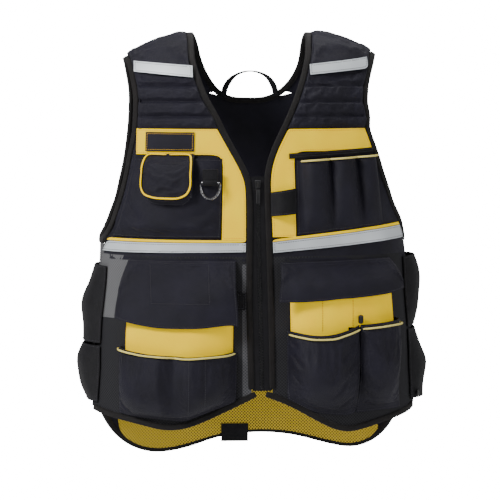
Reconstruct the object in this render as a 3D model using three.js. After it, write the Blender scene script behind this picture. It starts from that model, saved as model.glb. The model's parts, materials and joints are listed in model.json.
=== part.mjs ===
// Utility work vest in its worn form, in millimetres, with Z up and the front towards -Y.
// The origin is at shoulder height, midway between the shoulders, where the wearer holds it up.
// Right and left are the wearer's own sides, so right is towards -X.
import * as THREE from 'three';

// Driving sizes of the body
const VEST_LENGTH = 600;
const HALF_WIDTH = 243;
const FRONT_DEPTH = 130;
const BACK_DEPTH = 122;
const ROUNDNESS = 2.4;
const SHOULDER_ARCH = 150;
const NECK_HALF = 91;
const SHOULDER_HALF = 185;
const RIDGE_RISE = 16;
const RIDGE_DROP = 33;
const RIDGE_CURVE = 1.7;

// Thicknesses and clearances
const CLOTH = 1.6;
const STRIP = 1.1;
const WEBBING = 1.8;
const GAP = 0.6;
const SEAM_GAP = 0.8;
const LINING_GAP = 1.4;
const PIPING_GAP = 1.1;
const SEAT = 0.45;
const LOOP_SEAT = 0.8;
const INSET = 1;
const PANEL_INSET = 2.5;
const PAD_SEAM = 0.6;
const PAD_THICK = 8;
const PAD_GROOVE = 4;
const BINDING_WIDTH = 7;
const BINDING_THICK = 4;
const PIPING = 3;
const FLAT_PIPING = 0.7;

// Pocket sizes
const CHEST_POUCH_DEPTH = 8;
const POUCH_FROM_ARM = 9;
const FLAP_POCKET_DEPTH = 9;
const TUBE_DEPTH = 17;
const LINER_DEPTH = 22;
const POUCH_DEPTH = 40;
const HIP_FLAP_STAND = 30;
const LOOP_STAND = 11;

// Zip
const TEETH_WIDTH = 4.6;
const TEETH_THICK = 3;
const SLIDER_LENGTH = 12;
const SLIDER_WIDTH = 9;
const SLIDER_THICK = 3;
const PULL_LENGTH = 22;
const PULL_WIDTH = 6;
const PULL_THICK = 2;

// D-ring and the webbing that keeps it
const RING_WIDTH = 33;
const RING_HEIGHT = 27;
const RING_WIRE = 3.6;
const RING_CLEARANCE = 0.7;
const KEEPER_WIDTH = 22;
const KEEPER_RISE = 20;

// Hanger loop
const HANGER_WIDTH = 9;
const HANGER_THICK = 2;
const HANGER_CLEAR = 2.8;

// Small hard pieces
const STUD_WIDTH = 10;
const STUD_THICK = 2.4;
const TOGGLE_LENGTH = 13;
const TOGGLE_WIDTH = 7;

const FRONT = -1;
const BACK = 1;
const AROUND = 0;
const QUARTER = Math.PI / 2;

// Sections of the body: level and depth are shares of VEST_LENGTH and of the three half sizes
const SECTIONS = [
  { level: -0.1, width: 0.86, front: 0.80, back: 0.84 },
  { level: 0.0, width: 0.86, front: 0.82, back: 0.86 },
  { level: 0.17, width: 0.868, front: 0.88, back: 0.93 },
  { level: 0.34, width: 0.895, front: 0.94, back: 0.94 },
  { level: 0.5, width: 0.932, front: 0.955, back: 0.89 },
  { level: 0.67, width: 0.97, front: 0.955, back: 0.89 },
  { level: 0.84, width: 0.99, front: 0.98, back: 0.96 },
  { level: 1.0, width: 1.0, front: 1.0, back: 1.0 },
  { level: 1.1, width: 1.0, front: 1.01, back: 1.01 },
];

// Shoulder pads from the chest, over the shoulder, to the back. Outer and inner are shares of the
// half width, dip is 1 at a sewn groove, and steps is how finely the stretch to the next row is cut.
const RIGHT_PAD = [
  { face: FRONT, down: 0.204, outer: -0.841, inner: -0.262, dip: 0.6, steps: 1 },
  { face: FRONT, down: 0.190, outer: -0.842, inner: -0.280, dip: 0, steps: 1 },
  { face: FRONT, down: 0.181, outer: -0.843, inner: -0.290, dip: 0, steps: 1 },
  { face: FRONT, down: 0.174, outer: -0.843, inner: -0.298, dip: 1, steps: 1 },
  { face: FRONT, down: 0.167, outer: -0.842, inner: -0.310, dip: 0, steps: 1 },
  { face: FRONT, down: 0.145, outer: -0.840, inner: -0.350, dip: 0, steps: 1 },
  { face: FRONT, down: 0.138, outer: -0.839, inner: -0.362, dip: 1, steps: 1 },
  { face: FRONT, down: 0.131, outer: -0.838, inner: -0.374, dip: 0, steps: 1 },
  { face: FRONT, down: 0.109, outer: -0.846, inner: -0.398, dip: 0, steps: 1 },
  { face: FRONT, down: 0.102, outer: -0.850, inner: -0.406, dip: 1, steps: 1 },
  { face: FRONT, down: 0.095, outer: -0.853, inner: -0.413, dip: 0, steps: 2 },
  { face: FRONT, down: 0.042, outer: -0.886, inner: -0.458, dip: 0, steps: 2 },
  { face: FRONT, down: -1, outer: -0.912, inner: -0.452, dip: 0, steps: 3 },
  { face: BACK, down: 0.050, outer: -0.885, inner: -0.352, dip: 0, steps: 1 },
  { face: BACK, down: 0.083, outer: -0.862, inner: -0.300, dip: 0, steps: 1 },
  { face: BACK, down: 0.090, outer: -0.858, inner: -0.288, dip: 1, steps: 1 },
  { face: BACK, down: 0.097, outer: -0.854, inner: -0.276, dip: 0, steps: 1 },
  { face: BACK, down: 0.120, outer: -0.842, inner: -0.220, dip: 0, steps: 1 },
  { face: BACK, down: 0.127, outer: -0.840, inner: -0.205, dip: 0.6, steps: 1 },
];
const LEFT_PAD = [
  { face: FRONT, down: 0.203, outer: 0.758, inner: 0.170, dip: 0.6, steps: 1 },
  { face: FRONT, down: 0.189, outer: 0.774, inner: 0.192, dip: 0, steps: 1 },
  { face: FRONT, down: 0.181, outer: 0.777, inner: 0.203, dip: 0, steps: 1 },
  { face: FRONT, down: 0.174, outer: 0.774, inner: 0.212, dip: 1, steps: 1 },
  { face: FRONT, down: 0.167, outer: 0.770, inner: 0.222, dip: 0, steps: 1 },
  { face: FRONT, down: 0.147, outer: 0.757, inner: 0.248, dip: 0, steps: 1 },
  { face: FRONT, down: 0.140, outer: 0.754, inner: 0.257, dip: 1, steps: 1 },
  { face: FRONT, down: 0.133, outer: 0.754, inner: 0.264, dip: 0, steps: 1 },
  { face: FRONT, down: 0.109, outer: 0.762, inner: 0.291, dip: 0, steps: 1 },
  { face: FRONT, down: 0.102, outer: 0.768, inner: 0.299, dip: 1, steps: 1 },
  { face: FRONT, down: 0.095, outer: 0.775, inner: 0.306, dip: 0, steps: 2 },
  { face: FRONT, down: 0.042, outer: 0.830, inner: 0.356, dip: 0, steps: 2 },
  { face: FRONT, down: -1, outer: 0.862, inner: 0.398, dip: 0, steps: 3 },
  { face: BACK, down: 0.050, outer: 0.850, inner: 0.385, dip: 0, steps: 1 },
  { face: BACK, down: 0.083, outer: 0.846, inner: 0.350, dip: 0, steps: 1 },
  { face: BACK, down: 0.090, outer: 0.845, inner: 0.338, dip: 1, steps: 1 },
  { face: BACK, down: 0.097, outer: 0.844, inner: 0.325, dip: 0, steps: 1 },
  { face: BACK, down: 0.120, outer: 0.841, inner: 0.262, dip: 0, steps: 1 },
  { face: BACK, down: 0.127, outer: 0.840, inner: 0.240, dip: 0.6, steps: 1 },
];

// Edge lines: across is a share of the half width there, down a share of VEST_LENGTH
const RIGHT_ARM_FRONT = [
  { down: 0.205, across: -0.841 },
  { down: 0.235, across: -0.858 },
  { down: 0.294, across: -0.882 },
  { down: 0.355, across: -0.904 },
  { down: 0.402, across: -0.926 },
  { down: 0.445, across: -0.950 },
  { down: 0.478, across: -0.985 },
];
const LEFT_ARM_FRONT = [
  { down: 0.205, across: 0.757 },
  { down: 0.251, across: 0.805 },
  { down: 0.300, across: 0.838 },
  { down: 0.340, across: 0.868 },
  { down: 0.388, across: 0.906 },
  { down: 0.429, across: 0.952 },
  { down: 0.462, across: 0.985 },
];
const ARM_BACK = [
  { down: 0.127, across: 0.840 },
  { down: 0.200, across: 0.842 },
  { down: 0.280, across: 0.862 },
  { down: 0.350, across: 0.892 },
  { down: 0.410, across: 0.930 },
  { down: 0.470, across: 0.985 },
];
const RIGHT_FRONT_EDGE = [
  { down: 0.205, across: -0.262 },
  { down: 0.269, across: -0.161 },
  { down: 0.318, across: -0.086 },
  { down: 0.345, across: -0.073 },
  { down: 0.620, across: -0.068 },
  { down: 0.838, across: -0.054 },
];
const LEFT_FRONT_EDGE = [
  { down: 0.205, across: 0.170 },
  { down: 0.260, across: 0.092 },
  { down: 0.305, across: 0.052 },
  { down: 0.345, across: 0.050 },
  { down: 0.620, across: 0.069 },
  { down: 0.838, across: 0.077 },
];
const ZIP_LINE = [
  { down: 0.322, across: -0.017 },
  { down: 0.474, across: -0.009 },
  { down: 0.620, across: 0.001 },
  { down: 0.848, across: 0.012 },
];
const RIGHT_FRONT_HEM = [
  { across: -0.98, down: 0.895 },
  { across: -0.75, down: 0.918 },
  { across: -0.54, down: 0.934 },
  { across: -0.42, down: 0.924 },
  { across: -0.23, down: 0.890 },
  { across: -0.03, down: 0.851 },
];
const LEFT_FRONT_HEM = [
  { across: 0.04, down: 0.851 },
  { across: 0.18, down: 0.873 },
  { across: 0.43, down: 0.928 },
  { across: 0.53, down: 0.942 },
  { across: 0.75, down: 0.922 },
  { across: 0.98, down: 0.895 },
];
const BACK_HEM = [
  { across: -0.96, down: 0.884 },
  { across: -0.91, down: 0.935 },
  { across: -0.84, down: 0.978 },
  { across: -0.73, down: 1.015 },
  { across: -0.59, down: 1.035 },
  { across: -0.39, down: 1.027 },
  { across: -0.18, down: 1.000 },
  { across: 0.09, down: 0.988 },
  { across: 0.31, down: 0.996 },
  { across: 0.51, down: 1.016 },
  { across: 0.68, down: 1.025 },
  { across: 0.82, down: 0.996 },
  { across: 0.91, down: 0.940 },
  { across: 0.96, down: 0.884 },
];
const BACK_SCOOP = [
  { across: -0.205, down: 0.127 },
  { across: -0.127, down: 0.142 },
  { across: 0.012, down: 0.143 },
  { across: 0.165, down: 0.142 },
  { across: 0.240, down: 0.127 },
];

// Folds of the side straps: stand is how far each line bows off the body, in shares of STRAP_BOW
const STRAP_BOW = 22;
const UPPER_STRAP_FOLDS = [
  { line: 0, stand: 0.15 },
  { line: 0.25, stand: 0.5 },
  { line: 0.5, stand: 1 },
  { line: 0.75, stand: 0.6 },
  { line: 1, stand: 0.55 },
];
const LOWER_STRAP_FOLDS = [
  { line: 0, stand: 0.55 },
  { line: 0.25, stand: 1 },
  { line: 0.5, stand: 0.8 },
  { line: 0.75, stand: 0.6 },
  { line: 1, stand: 0.1 },
];

// Colours and surfaces
const FINISHES = {
  black_cloth: { color: 0x1b1b22, roughness: 0.85, metalness: 0 },
  black_mesh: { color: 0x2c2c30, roughness: 0.9, metalness: 0 },
  grey_mesh: { color: 0x55565a, roughness: 0.9, metalness: 0 },
  yellow_cloth: { color: 0xf6cf17, roughness: 0.8, metalness: 0 },
  yellow_mesh: { color: 0xb08c2a, roughness: 0.9, metalness: 0 },
  cream_piping: { color: 0xd8cc80, roughness: 0.7, metalness: 0 },
  silver_tape: { color: 0xc6ccd0, roughness: 0.35, metalness: 0.3 },
  black_webbing: { color: 0x16161a, roughness: 0.8, metalness: 0 },
  dark_binding: { color: 0x221d1c, roughness: 0.85, metalness: 0 },
  steel: { color: 0xbfbfbf, roughness: 0.3, metalness: 1 },
  black_plastic: { color: 0x141416, roughness: 0.5, metalness: 0 },
};

const vest = new THREE.Group();
const materials = {};
for (const [name, look] of Object.entries(FINISHES)) {
  materials[name] = new THREE.MeshStandardMaterial(look);
}

function add(name, finish, geometry) {
  const mesh = new THREE.Mesh(geometry, materials[finish]);
  mesh.name = name;
  vest.add(mesh);
  return mesh;
}

// A smooth value read from a table of rows, going on straight past its ends
function through(rows, key, column, at) {
  const last = rows.length - 1;
  const past = at < rows[0][key] ? 0 : last - 1;
  if (at < rows[0][key] || at > rows[last][key]) {
    const [p, q] = [rows[past], rows[past + 1]];
    return p[column] + (q[column] - p[column]) * (at - p[key]) / (q[key] - p[key]);
  }
  let i = 0;
  while (i < last - 1 && at > rows[i + 1][key]) i += 1;
  const before = rows[Math.max(i - 1, 0)];
  const from = rows[i];
  const to = rows[i + 1];
  const after = rows[Math.min(i + 2, last)];
  const span = to[key] - from[key];
  const t = (at - from[key]) / span;
  const start = ((to[column] - before[column]) / (to[key] - before[key])) * span;
  const end = ((after[column] - from[column]) / (after[key] - from[key])) * span;
  const t2 = t * t;
  const t3 = t2 * t;
  return (2 * t3 - 3 * t2 + 1) * from[column] + (t3 - 2 * t2 + t) * start
    + (3 * t2 - 2 * t3) * to[column] + (t3 - t2) * end;
}

function halfWidth(z) {
  return HALF_WIDTH * through(SECTIONS, 'level', 'width', -z / VEST_LENGTH);
}

function halfDepth(z, face) {
  if (face === FRONT) return FRONT_DEPTH * through(SECTIONS, 'level', 'front', -z / VEST_LENGTH);
  return BACK_DEPTH * through(SECTIONS, 'level', 'back', -z / VEST_LENGTH);
}

function ridge(x) {
  const past = Math.max(0, (Math.abs(x) - NECK_HALF) / (SHOULDER_HALF - NECK_HALF));
  return RIDGE_RISE - RIDGE_DROP * past ** RIDGE_CURVE;
}

// How far a point lies outside the body surface, as a number that is zero on it
function outside(x, y, z) {
  const face = y < 0 ? FRONT : BACK;
  const across = (Math.abs(x) / halfWidth(z)) ** ROUNDNESS;
  const rise = Math.max(0, 1 - (ridge(x) - z) / SHOULDER_ARCH) ** 2;
  return (Math.abs(y) / halfDepth(z, face)) ** ROUNDNESS - (1 - across) * (1 - rise);
}

function slope(p) {
  const h = 0.2;
  return new THREE.Vector3(
    outside(p.x + h, p.y, p.z) - outside(p.x - h, p.y, p.z),
    outside(p.x, p.y + h, p.z) - outside(p.x, p.y - h, p.z),
    outside(p.x, p.y, p.z + h) - outside(p.x, p.y, p.z - h),
  ).divideScalar(2 * h);
}

function normalAt(p) {
  return slope(p).normalize();
}

// A point moved onto the body surface and lifted off it
function settle(point, lift) {
  const p = point.clone();
  for (let k = 0; k < 12; k += 1) {
    const g = slope(p);
    const step = outside(p.x, p.y, p.z) / Math.max(g.lengthSq(), 1e-12);
    p.addScaledVector(g, -THREE.MathUtils.clamp(step, -4 / g.length(), 4 / g.length()));
  }
  return p.addScaledVector(normalAt(p), lift);
}

// Quarter turns round the body: 0 at the front centre, 1 at the left side, 2 at the back centre and
// 3, which is also -1, at the right side
function turnOf(share, face) {
  const side = share < 0 ? -1 : 1;
  const turn = side * Math.asin(Math.min(1, Math.abs(share)) ** (ROUNDNESS / 2)) / QUARTER;
  return face === BACK ? 2 - turn : turn;
}

function shareOf(turn) {
  const sine = Math.sin(turn * QUARTER);
  return Math.sign(sine) * Math.abs(sine) ** (2 / ROUNDNESS);
}

function skin(turn, down) {
  const z = -down * VEST_LENGTH;
  const x = halfWidth(z) * shareOf(turn);
  const face = Math.cos(turn * QUARTER) < 0 ? BACK : FRONT;
  const rise = Math.max(0, 1 - (ridge(x) - z) / SHOULDER_ARCH) ** 2;
  const bow = (Math.abs(Math.cos(turn * QUARTER)) ** 2 * Math.max(0, 1 - rise)) ** (1 / ROUNDNESS);
  return new THREE.Vector3(x, face * halfDepth(z, face) * bow, z);
}

function lifted(turn, down, lift) {
  const p = skin(turn, down);
  return p.addScaledVector(normalAt(p), lift);
}

// Surface normals of a grid of points, outwards
function gridNormals(grid) {
  const rows = grid.length - 1;
  const columns = grid[0].length - 1;
  return grid.map((row, i) => row.map((p, j) => {
    const downward = grid[Math.min(i + 1, rows)][j].clone().sub(grid[Math.max(i - 1, 0)][j]);
    const sideways = row[Math.min(j + 1, columns)].clone().sub(row[Math.max(j - 1, 0)]);
    return downward.cross(sideways).normalize();
  }));
}

// A closed slab between an inner grid and the same grid moved outwards by the wall. Keep says which
// cells are cloth, so that a sheet can be cut to a corner or have openings
function slab(inner, wall, keep = () => true, normals = gridNormals(inner)) {
  const rows = inner.length - 1;
  const columns = inner[0].length - 1;
  const outer = inner.map((row, i) => row.map((p, j) => p.clone().addScaledVector(normals[i][j], wall)));
  const width = columns + 1;
  const count = (rows + 1) * width;
  const points = [...outer.flat(), ...inner.flat()];
  const isCloth = (i, j) => i >= 0 && j >= 0 && i < rows && j < columns && keep(i, j);
  const index = [];
  const rim = (a, b) => index.push(b, a, count + a, b, count + a, count + b);
  for (let i = 0; i < rows; i += 1) {
    for (let j = 0; j < columns; j += 1) {
      const a = i * width + j;
      const b = a + 1;
      const c = a + width + 1;
      const d = a + width;
      if (isCloth(i, j)) {
        index.push(a, d, c, a, c, b);
        index.push(count + a, count + c, count + d, count + a, count + b, count + c);
        if (!isCloth(i, j - 1)) rim(a, d);
        if (!isCloth(i + 1, j)) rim(d, c);
        if (!isCloth(i, j + 1)) rim(c, b);
        if (!isCloth(i - 1, j)) rim(b, a);
      }
    }
  }
  return solid(points, index);
}

function solid(points, index) {
  const used = [...new Set(index)];
  const place = new Map(used.map((old, k) => [old, k]));
  const geometry = new THREE.BufferGeometry();
  const flat = used.flatMap((k) => [points[k].x, points[k].y, points[k].z]);
  geometry.setAttribute('position', new THREE.Float32BufferAttribute(flat, 3));
  geometry.setIndex(index.map((old) => place.get(old)));
  return geometry;
}

// A side edge read from a table at a level, moved square to itself by some millimetres
const EDGE_STEP = 0.004;
function edge(rows, shift = 0) {
  const at = (down) => through(rows, 'down', 'across', down);
  return (down) => {
    const width = halfWidth(-down * VEST_LENGTH);
    const lean = (at(down + EDGE_STEP) - at(down - EDGE_STEP)) * width / (2 * EDGE_STEP * VEST_LENGTH);
    return at(down) + shift * Math.sqrt(1 + lean ** 2) / width;
  };
}

// A hem or top edge read from a table at a share across, moved square to itself
function hem(rows, shift = 0) {
  const at = (across) => through(rows, 'across', 'down', across);
  return (across) => {
    const [before, after] = [across - EDGE_STEP, across + EDGE_STEP].map((share) => at(share));
    const level = at(across);
    const start = skin(turnOf(across - EDGE_STEP, FRONT), level);
    const run = start.distanceTo(skin(turnOf(across + EDGE_STEP, FRONT), level));
    const rise = (after - before) * VEST_LENGTH / Math.max(run, GAP);
    return level + shift * Math.sqrt(1 + rise ** 2) / VEST_LENGTH;
  };
}

// An edge with sharp corners between its rows
function corners(rows, key = 'down', column = 'across') {
  return (at) => {
    const i = THREE.MathUtils.clamp(rows.findIndex((row) => row[key] >= at), 1, rows.length - 1);
    const t = (at - rows[i - 1][key]) / (rows[i][key] - rows[i - 1][key]);
    return THREE.MathUtils.lerp(rows[i - 1][column], rows[i][column], THREE.MathUtils.clamp(t, 0, 1));
  };
}

function valueOf(line, ...at) {
  return typeof line === 'function' ? line(...at) : line;
}

// The edges from and to are shares of the half width on FRONT and BACK, and turns AROUND a side
function turnOfEdge(spec, line, down) {
  const value = valueOf(line, down);
  return spec.face === AROUND ? value : turnOf(value, spec.face);
}

// The place on the body of a spot on a sheet: s runs from edge to edge and t from top to bottom
function spotOn(spec, s, t) {
  let turn = turnOfEdge(spec, spec.from, 0.5);
  let down = 0.5;
  for (let k = 0; k < 10; k += 1) {
    const share = shareOf(turn);
    down = THREE.MathUtils.lerp(valueOf(spec.top, share), valueOf(spec.bottom, share), t);
    turn = THREE.MathUtils.lerp(turnOfEdge(spec, spec.from, down), turnOfEdge(spec, spec.to, down), s);
  }
  return { turn, down };
}

function sharesOn(spec, turn, down) {
  const from = turnOfEdge(spec, spec.from, down);
  const to = turnOfEdge(spec, spec.to, down);
  const top = valueOf(spec.top, shareOf(turn));
  const bottom = valueOf(spec.bottom, shareOf(turn));
  return { s: (turn - from) / (to - from), t: (down - top) / (bottom - top) };
}

function liftAt(spec, turn, down) {
  const { s, t } = sharesOn(spec, turn, down);
  return valueOf(spec.base, turn, down) + (spec.bulge ? spec.bulge(s, t) : 0);
}

// Lift of the outside of a sheet, for a piece that lies on it
function onTop(spec) {
  return (turn, down) => {
    const { s, t } = sharesOn(spec, turn, down);
    const near = spotOn(spec, THREE.MathUtils.clamp(s, 0, 1), THREE.MathUtils.clamp(t, 0, 1));
    const here = liftAt(spec, near.turn, near.down);
    const stepTurn = 0.01;
    const stepDown = 0.004;
    const run = lifted(near.turn + stepTurn, near.down, 0).distanceTo(lifted(near.turn, near.down, 0));
    const sideways = (liftAt(spec, near.turn + stepTurn, near.down) - here) / run;
    const downward = (liftAt(spec, near.turn, near.down + stepDown) - here) / (stepDown * VEST_LENGTH);
    return here + spec.wall * Math.sqrt(1 + sideways ** 2 + downward ** 2) + GAP;
  };
}

// A point on the inner face of a sheet, and the way its cloth faces there
function sheetPoint(spec, s, t) {
  const { turn, down } = spotOn(spec, s, t);
  return lifted(turn, down, valueOf(spec.base, turn, down) + (spec.bulge ? spec.bulge(s, t) : 0));
}

function sheetNormal(spec, s, t) {
  const step = 0.02;
  const at = (sideStep, downStep) => sheetPoint(
    spec, THREE.MathUtils.clamp(s + sideStep, 0, 1), THREE.MathUtils.clamp(t + downStep, 0, 1),
  );
  const sideways = at(step, 0).sub(at(-step, 0));
  const downward = at(0, step).sub(at(0, -step));
  return downward.cross(sideways).normalize();
}

function evenly(count) {
  return Array.from({ length: count + 1 }, (_, k) => k / count);
}

// A cloth sheet between four edges, as a closed slab
function sheet(name, finish, spec) {
  const across = Array.isArray(spec.columns) ? spec.columns : evenly(spec.columns);
  const along = Array.isArray(spec.rows) ? spec.rows : evenly(spec.rows);
  const grid = along.map((t) => across.map((s) => sheetPoint(spec, s, t)));
  add(name, finish, slab(grid, spec.wall));
  return spec;
}

// Fullness of a pocket: flat at its sides and bottom, standing open at its mouth
function fullness(depth, mouth = 1, sides = 4, bottom = 5) {
  return (s, t) => {
    const acrossFill = 1 - Math.abs(2 * s - 1) ** sides;
    const downFill = THREE.MathUtils.lerp(mouth, 1, Math.min(1, t * 2)) * (1 - Math.max(0, t) ** bottom);
    return depth * acrossFill * downFill;
  };
}

const POCKET_COLUMNS = [0, 0.05, 0.14, 0.3, 0.5, 0.7, 0.86, 0.95, 1];
const POCKET_ROWS = [0, 0.25, 0.5, 0.7, 0.85, 0.94, 1];

// A ring of points swept along a path, closed on itself or ended flat
function sweep(centres, normals, width, thick, sides = 6, closed = false) {
  const count = centres.length;
  const points = [];
  const corner = sides === 4 ? Math.SQRT1_2 : 0.5;
  for (let k = 0; k < count; k += 1) {
    const before = closed ? centres[(k + count - 1) % count] : centres[Math.max(k - 1, 0)];
    const after = closed ? centres[(k + 1) % count] : centres[Math.min(k + 1, count - 1)];
    const along = after.clone().sub(before).normalize();
    const sideways = along.clone().cross(normals[k]).normalize();
    const upward = sideways.clone().cross(along).normalize();
    for (let m = 0; m < sides; m += 1) {
      const angle = (m + 0.5) / sides * 2 * Math.PI;
      points.push(centres[k].clone()
        .addScaledVector(sideways, Math.cos(angle) * width * corner)
        .addScaledVector(upward, Math.sin(angle) * thick * corner));
    }
  }
  const index = [];
  for (let k = 0; k < (closed ? count : count - 1); k += 1) {
    const next = (k + 1) % count * sides;
    for (let m = 0; m < sides; m += 1) {
      const n = (m + 1) % sides;
      index.push(k * sides + m, k * sides + n, next + n, k * sides + m, next + n, next + m);
    }
  }
  const end = (count - 1) * sides;
  for (let m = 1; m < sides - 1 && !closed; m += 1) {
    index.push(0, m + 1, m);
    index.push(end, end + m, end + m + 1);
  }
  return turnedOut(solid(points, index));
}

// Faces turned so that the enclosed volume is positive
function turnedOut(geometry) {
  const position = geometry.getAttribute('position');
  const index = geometry.getIndex().array;
  const a = new THREE.Vector3();
  const b = new THREE.Vector3();
  const c = new THREE.Vector3();
  let volume = 0;
  for (let k = 0; k < index.length; k += 3) {
    a.fromBufferAttribute(position, index[k]);
    b.fromBufferAttribute(position, index[k + 1]);
    c.fromBufferAttribute(position, index[k + 2]);
    volume += a.dot(b.cross(c));
  }
  if (volume < 0) {
    const flipped = [];
    for (let k = 0; k < index.length; k += 3) flipped.push(index[k], index[k + 2], index[k + 1]);
    geometry.setIndex(flipped);
  }
  return geometry;
}

// A binding or piping along a smooth line of points that lie on the body
function trim(name, finish, points, options) {
  const curve = new THREE.CatmullRomCurve3(points, false, 'centripetal');
  const centres = curve.getSpacedPoints(options.steps);
  const placed = centres.map((p) => settle(p, 0));
  const normals = placed.map((p) => normalAt(p));
  const raised = placed.map((p, k) => {
    const lift = typeof options.lift === 'function' ? options.lift(p) : options.lift;
    return p.clone().addScaledVector(normals[k], lift);
  });
  add(name, finish, sweep(raised, normals, options.width, options.thick, options.sides));
}

// Layers of cloth over the body, each lift counted from the body surface
const SECOND_LAYER = CLOTH + GAP;
const THIRD_LAYER = SECOND_LAYER + STRIP + GAP;
const HALF_BINDING = BINDING_WIDTH / 2 + SEAM_GAP;

// Shoulder pads
function reachAt(x, z) {
  const fall = THREE.MathUtils.clamp((ridge(x) - z) / SHOULDER_ARCH, 0, 1);
  return Math.acos(1 - fall) / QUARTER;
}

function padEnd(row, share) {
  const z = -row.down * VEST_LENGTH;
  const x = share * halfWidth(Math.min(z, 0));
  const reach = row.down < 0 ? 0 : reachAt(x, z) * row.face;
  return { x, reach };
}

function overShoulder(x, reach, lift) {
  const z = ridge(x) - SHOULDER_ARCH * (1 - Math.cos(reach * QUARTER));
  const across = (Math.abs(x) / halfWidth(z)) ** ROUNDNESS;
  const face = reach < 0 ? FRONT : BACK;
  const bow = ((1 - across) * Math.sin(Math.abs(reach) * QUARTER) ** 2) ** (1 / ROUNDNESS);
  const p = new THREE.Vector3(x, face * halfDepth(z, face) * bow, z);
  return p.addScaledVector(normalAt(p), lift);
}

// The rows of a pad with its steps between them, each end moved in by shift, square to the edge
function padRungs(rows, shift) {
  const side = Math.sign(rows[0].outer);
  const ends = rows.map((row, k) => {
    const near = [rows[Math.max(k - 1, 0)], rows[Math.min(k + 1, rows.length - 1)]];
    const moved = (column, way) => {
      const end = padEnd(row, row[column]);
      const [before, after] = near.map((other) => padEnd(other, other[column]));
      const run = overShoulder(before.x, before.reach, 0).distanceTo(overShoulder(after.x, after.reach, 0));
      const lean = Math.abs(after.x - before.x) / run;
      return end.x + way * shift / Math.sqrt(1 - lean ** 2);
    };
    return { row, outer: moved('outer', -side), inner: moved('inner', side) };
  });
  const rungs = [];
  ends.forEach((end, k) => {
    const next = ends[k + 1] ?? end;
    const steps = end === next ? 1 : end.row.steps;
    for (let m = 0; m < steps; m += 1) rungs.push({ end, next, t: m / steps });
  });
  return rungs;
}

function padReach(row, x) {
  return row.down < 0 ? 0 : reachAt(x, -row.down * VEST_LENGTH) * row.face;
}

// A spot on a rung, k of the way from its outer end to its inner one
function padSpot({ end, next, t }, k) {
  const here = THREE.MathUtils.lerp(end.outer, end.inner, k);
  const there = THREE.MathUtils.lerp(next.outer, next.inner, k);
  return {
    x: THREE.MathUtils.lerp(here, there, t),
    reach: THREE.MathUtils.lerp(padReach(end.row, here), padReach(next.row, there), t),
    dip: THREE.MathUtils.lerp(end.row.dip, next.row.dip, t),
  };
}

const PAD_COLUMNS = [0, 0.06, 0.35, 0.65, 0.94, 1];
const PAD_EDGE_DIP = 0.55;

function shoulderPad(name, rows) {
  const rungs = padRungs(rows, HALF_BINDING + PAD_SEAM);
  const gridOf = (liftOf) => rungs.map((rung) => PAD_COLUMNS.map((s) => {
    const spot = padSpot(rung, rows[0].outer < 0 ? s : 1 - s);
    return overShoulder(spot.x, spot.reach, liftOf(spot.dip, s));
  }));
  const inner = gridOf(() => 0).reverse();
  const outer = gridOf((dip, s) => {
    const atEdge = s === 0 || s === 1 ? PAD_EDGE_DIP : 0;
    return PAD_THICK - PAD_GROOVE * Math.max(dip, atEdge);
  }).reverse();
  const normals = inner.map((row, i) => row.map((p, j) => outer[i][j].clone().sub(p)));
  add(name, 'black_cloth', slab(inner, 1, undefined, normals));
}

shoulderPad('right_shoulder_pad', RIGHT_PAD);
shoulderPad('left_shoulder_pad', LEFT_PAD);

// Body panels
const SEAM = SEAM_GAP / VEST_LENGTH;
const HALF_BINDING_SHARE = HALF_BINDING / HALF_WIDTH;
const PAD_BOTTOM = RIGHT_PAD[0].down;
const BACK_TOP = RIGHT_PAD[RIGHT_PAD.length - 1].down;
const WAIST_SEAM = 0.522;
const SIDE_SHARE = 0.985;
const SIDE_TOP = 0.492;
const SIDE_BOTTOM = 0.866;

function backArm(down) {
  const lowest = ARM_BACK[ARM_BACK.length - 1].down;
  return through(ARM_BACK, 'down', 'across', Math.min(down, lowest)) - HALF_BINDING_SHARE;
}

const scoopTop = hem(BACK_SCOOP, HALF_BINDING + INSET);
const SCOOP_MARGIN = 1.6 * HALF_BINDING_SHARE;
function backTop(across) {
  const start = BACK_SCOOP[0].across - SCOOP_MARGIN;
  const end = BACK_SCOOP[BACK_SCOOP.length - 1].across + SCOOP_MARGIN;
  if (across < start || across > end) return BACK_TOP + SEAM;
  return Math.max(BACK_TOP + SEAM, scoopTop(across));
}

// The armhole edge of a front cloth, which stops at the side seam
function armEdge(rows, inset) {
  const side = Math.sign(rows[0].across);
  const line = edge(rows, -side * inset);
  return (down) => side * Math.min(SIDE_SHARE, Math.abs(line(down)));
}

for (const [side, from, to, hemRows] of [
  ['right', armEdge(RIGHT_ARM_FRONT, HALF_BINDING), edge(RIGHT_FRONT_EDGE, -HALF_BINDING), RIGHT_FRONT_HEM],
  ['left', edge(LEFT_FRONT_EDGE, HALF_BINDING), armEdge(LEFT_ARM_FRONT, HALF_BINDING), LEFT_FRONT_HEM],
]) {
  sheet(`${side}_front_panel`, 'black_cloth', {
    face: FRONT, from, to, top: PAD_BOTTOM + SEAM, bottom: WAIST_SEAM - SEAM,
    base: 0, wall: CLOTH, columns: 9, rows: 8,
  });
  sheet(`${side}_front_mesh`, 'black_mesh', {
    face: FRONT,
    from: side === 'right' ? -SIDE_SHARE : from,
    to: side === 'right' ? to : SIDE_SHARE,
    top: WAIST_SEAM, bottom: hem(hemRows, -HALF_BINDING - INSET),
    base: 0, wall: CLOTH, columns: 9, rows: 5,
  });
}
sheet('back_panel', 'black_cloth', {
  face: BACK,
  from: backArm, to: (down) => -backArm(down),
  top: backTop, bottom: hem(BACK_HEM, -HALF_BINDING - INSET),
  base: 0, wall: CLOTH, columns: 20, rows: [0, 0.05, 0.12, 0.22, 0.34, 0.48, 0.66, 0.84, 1],
});
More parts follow.
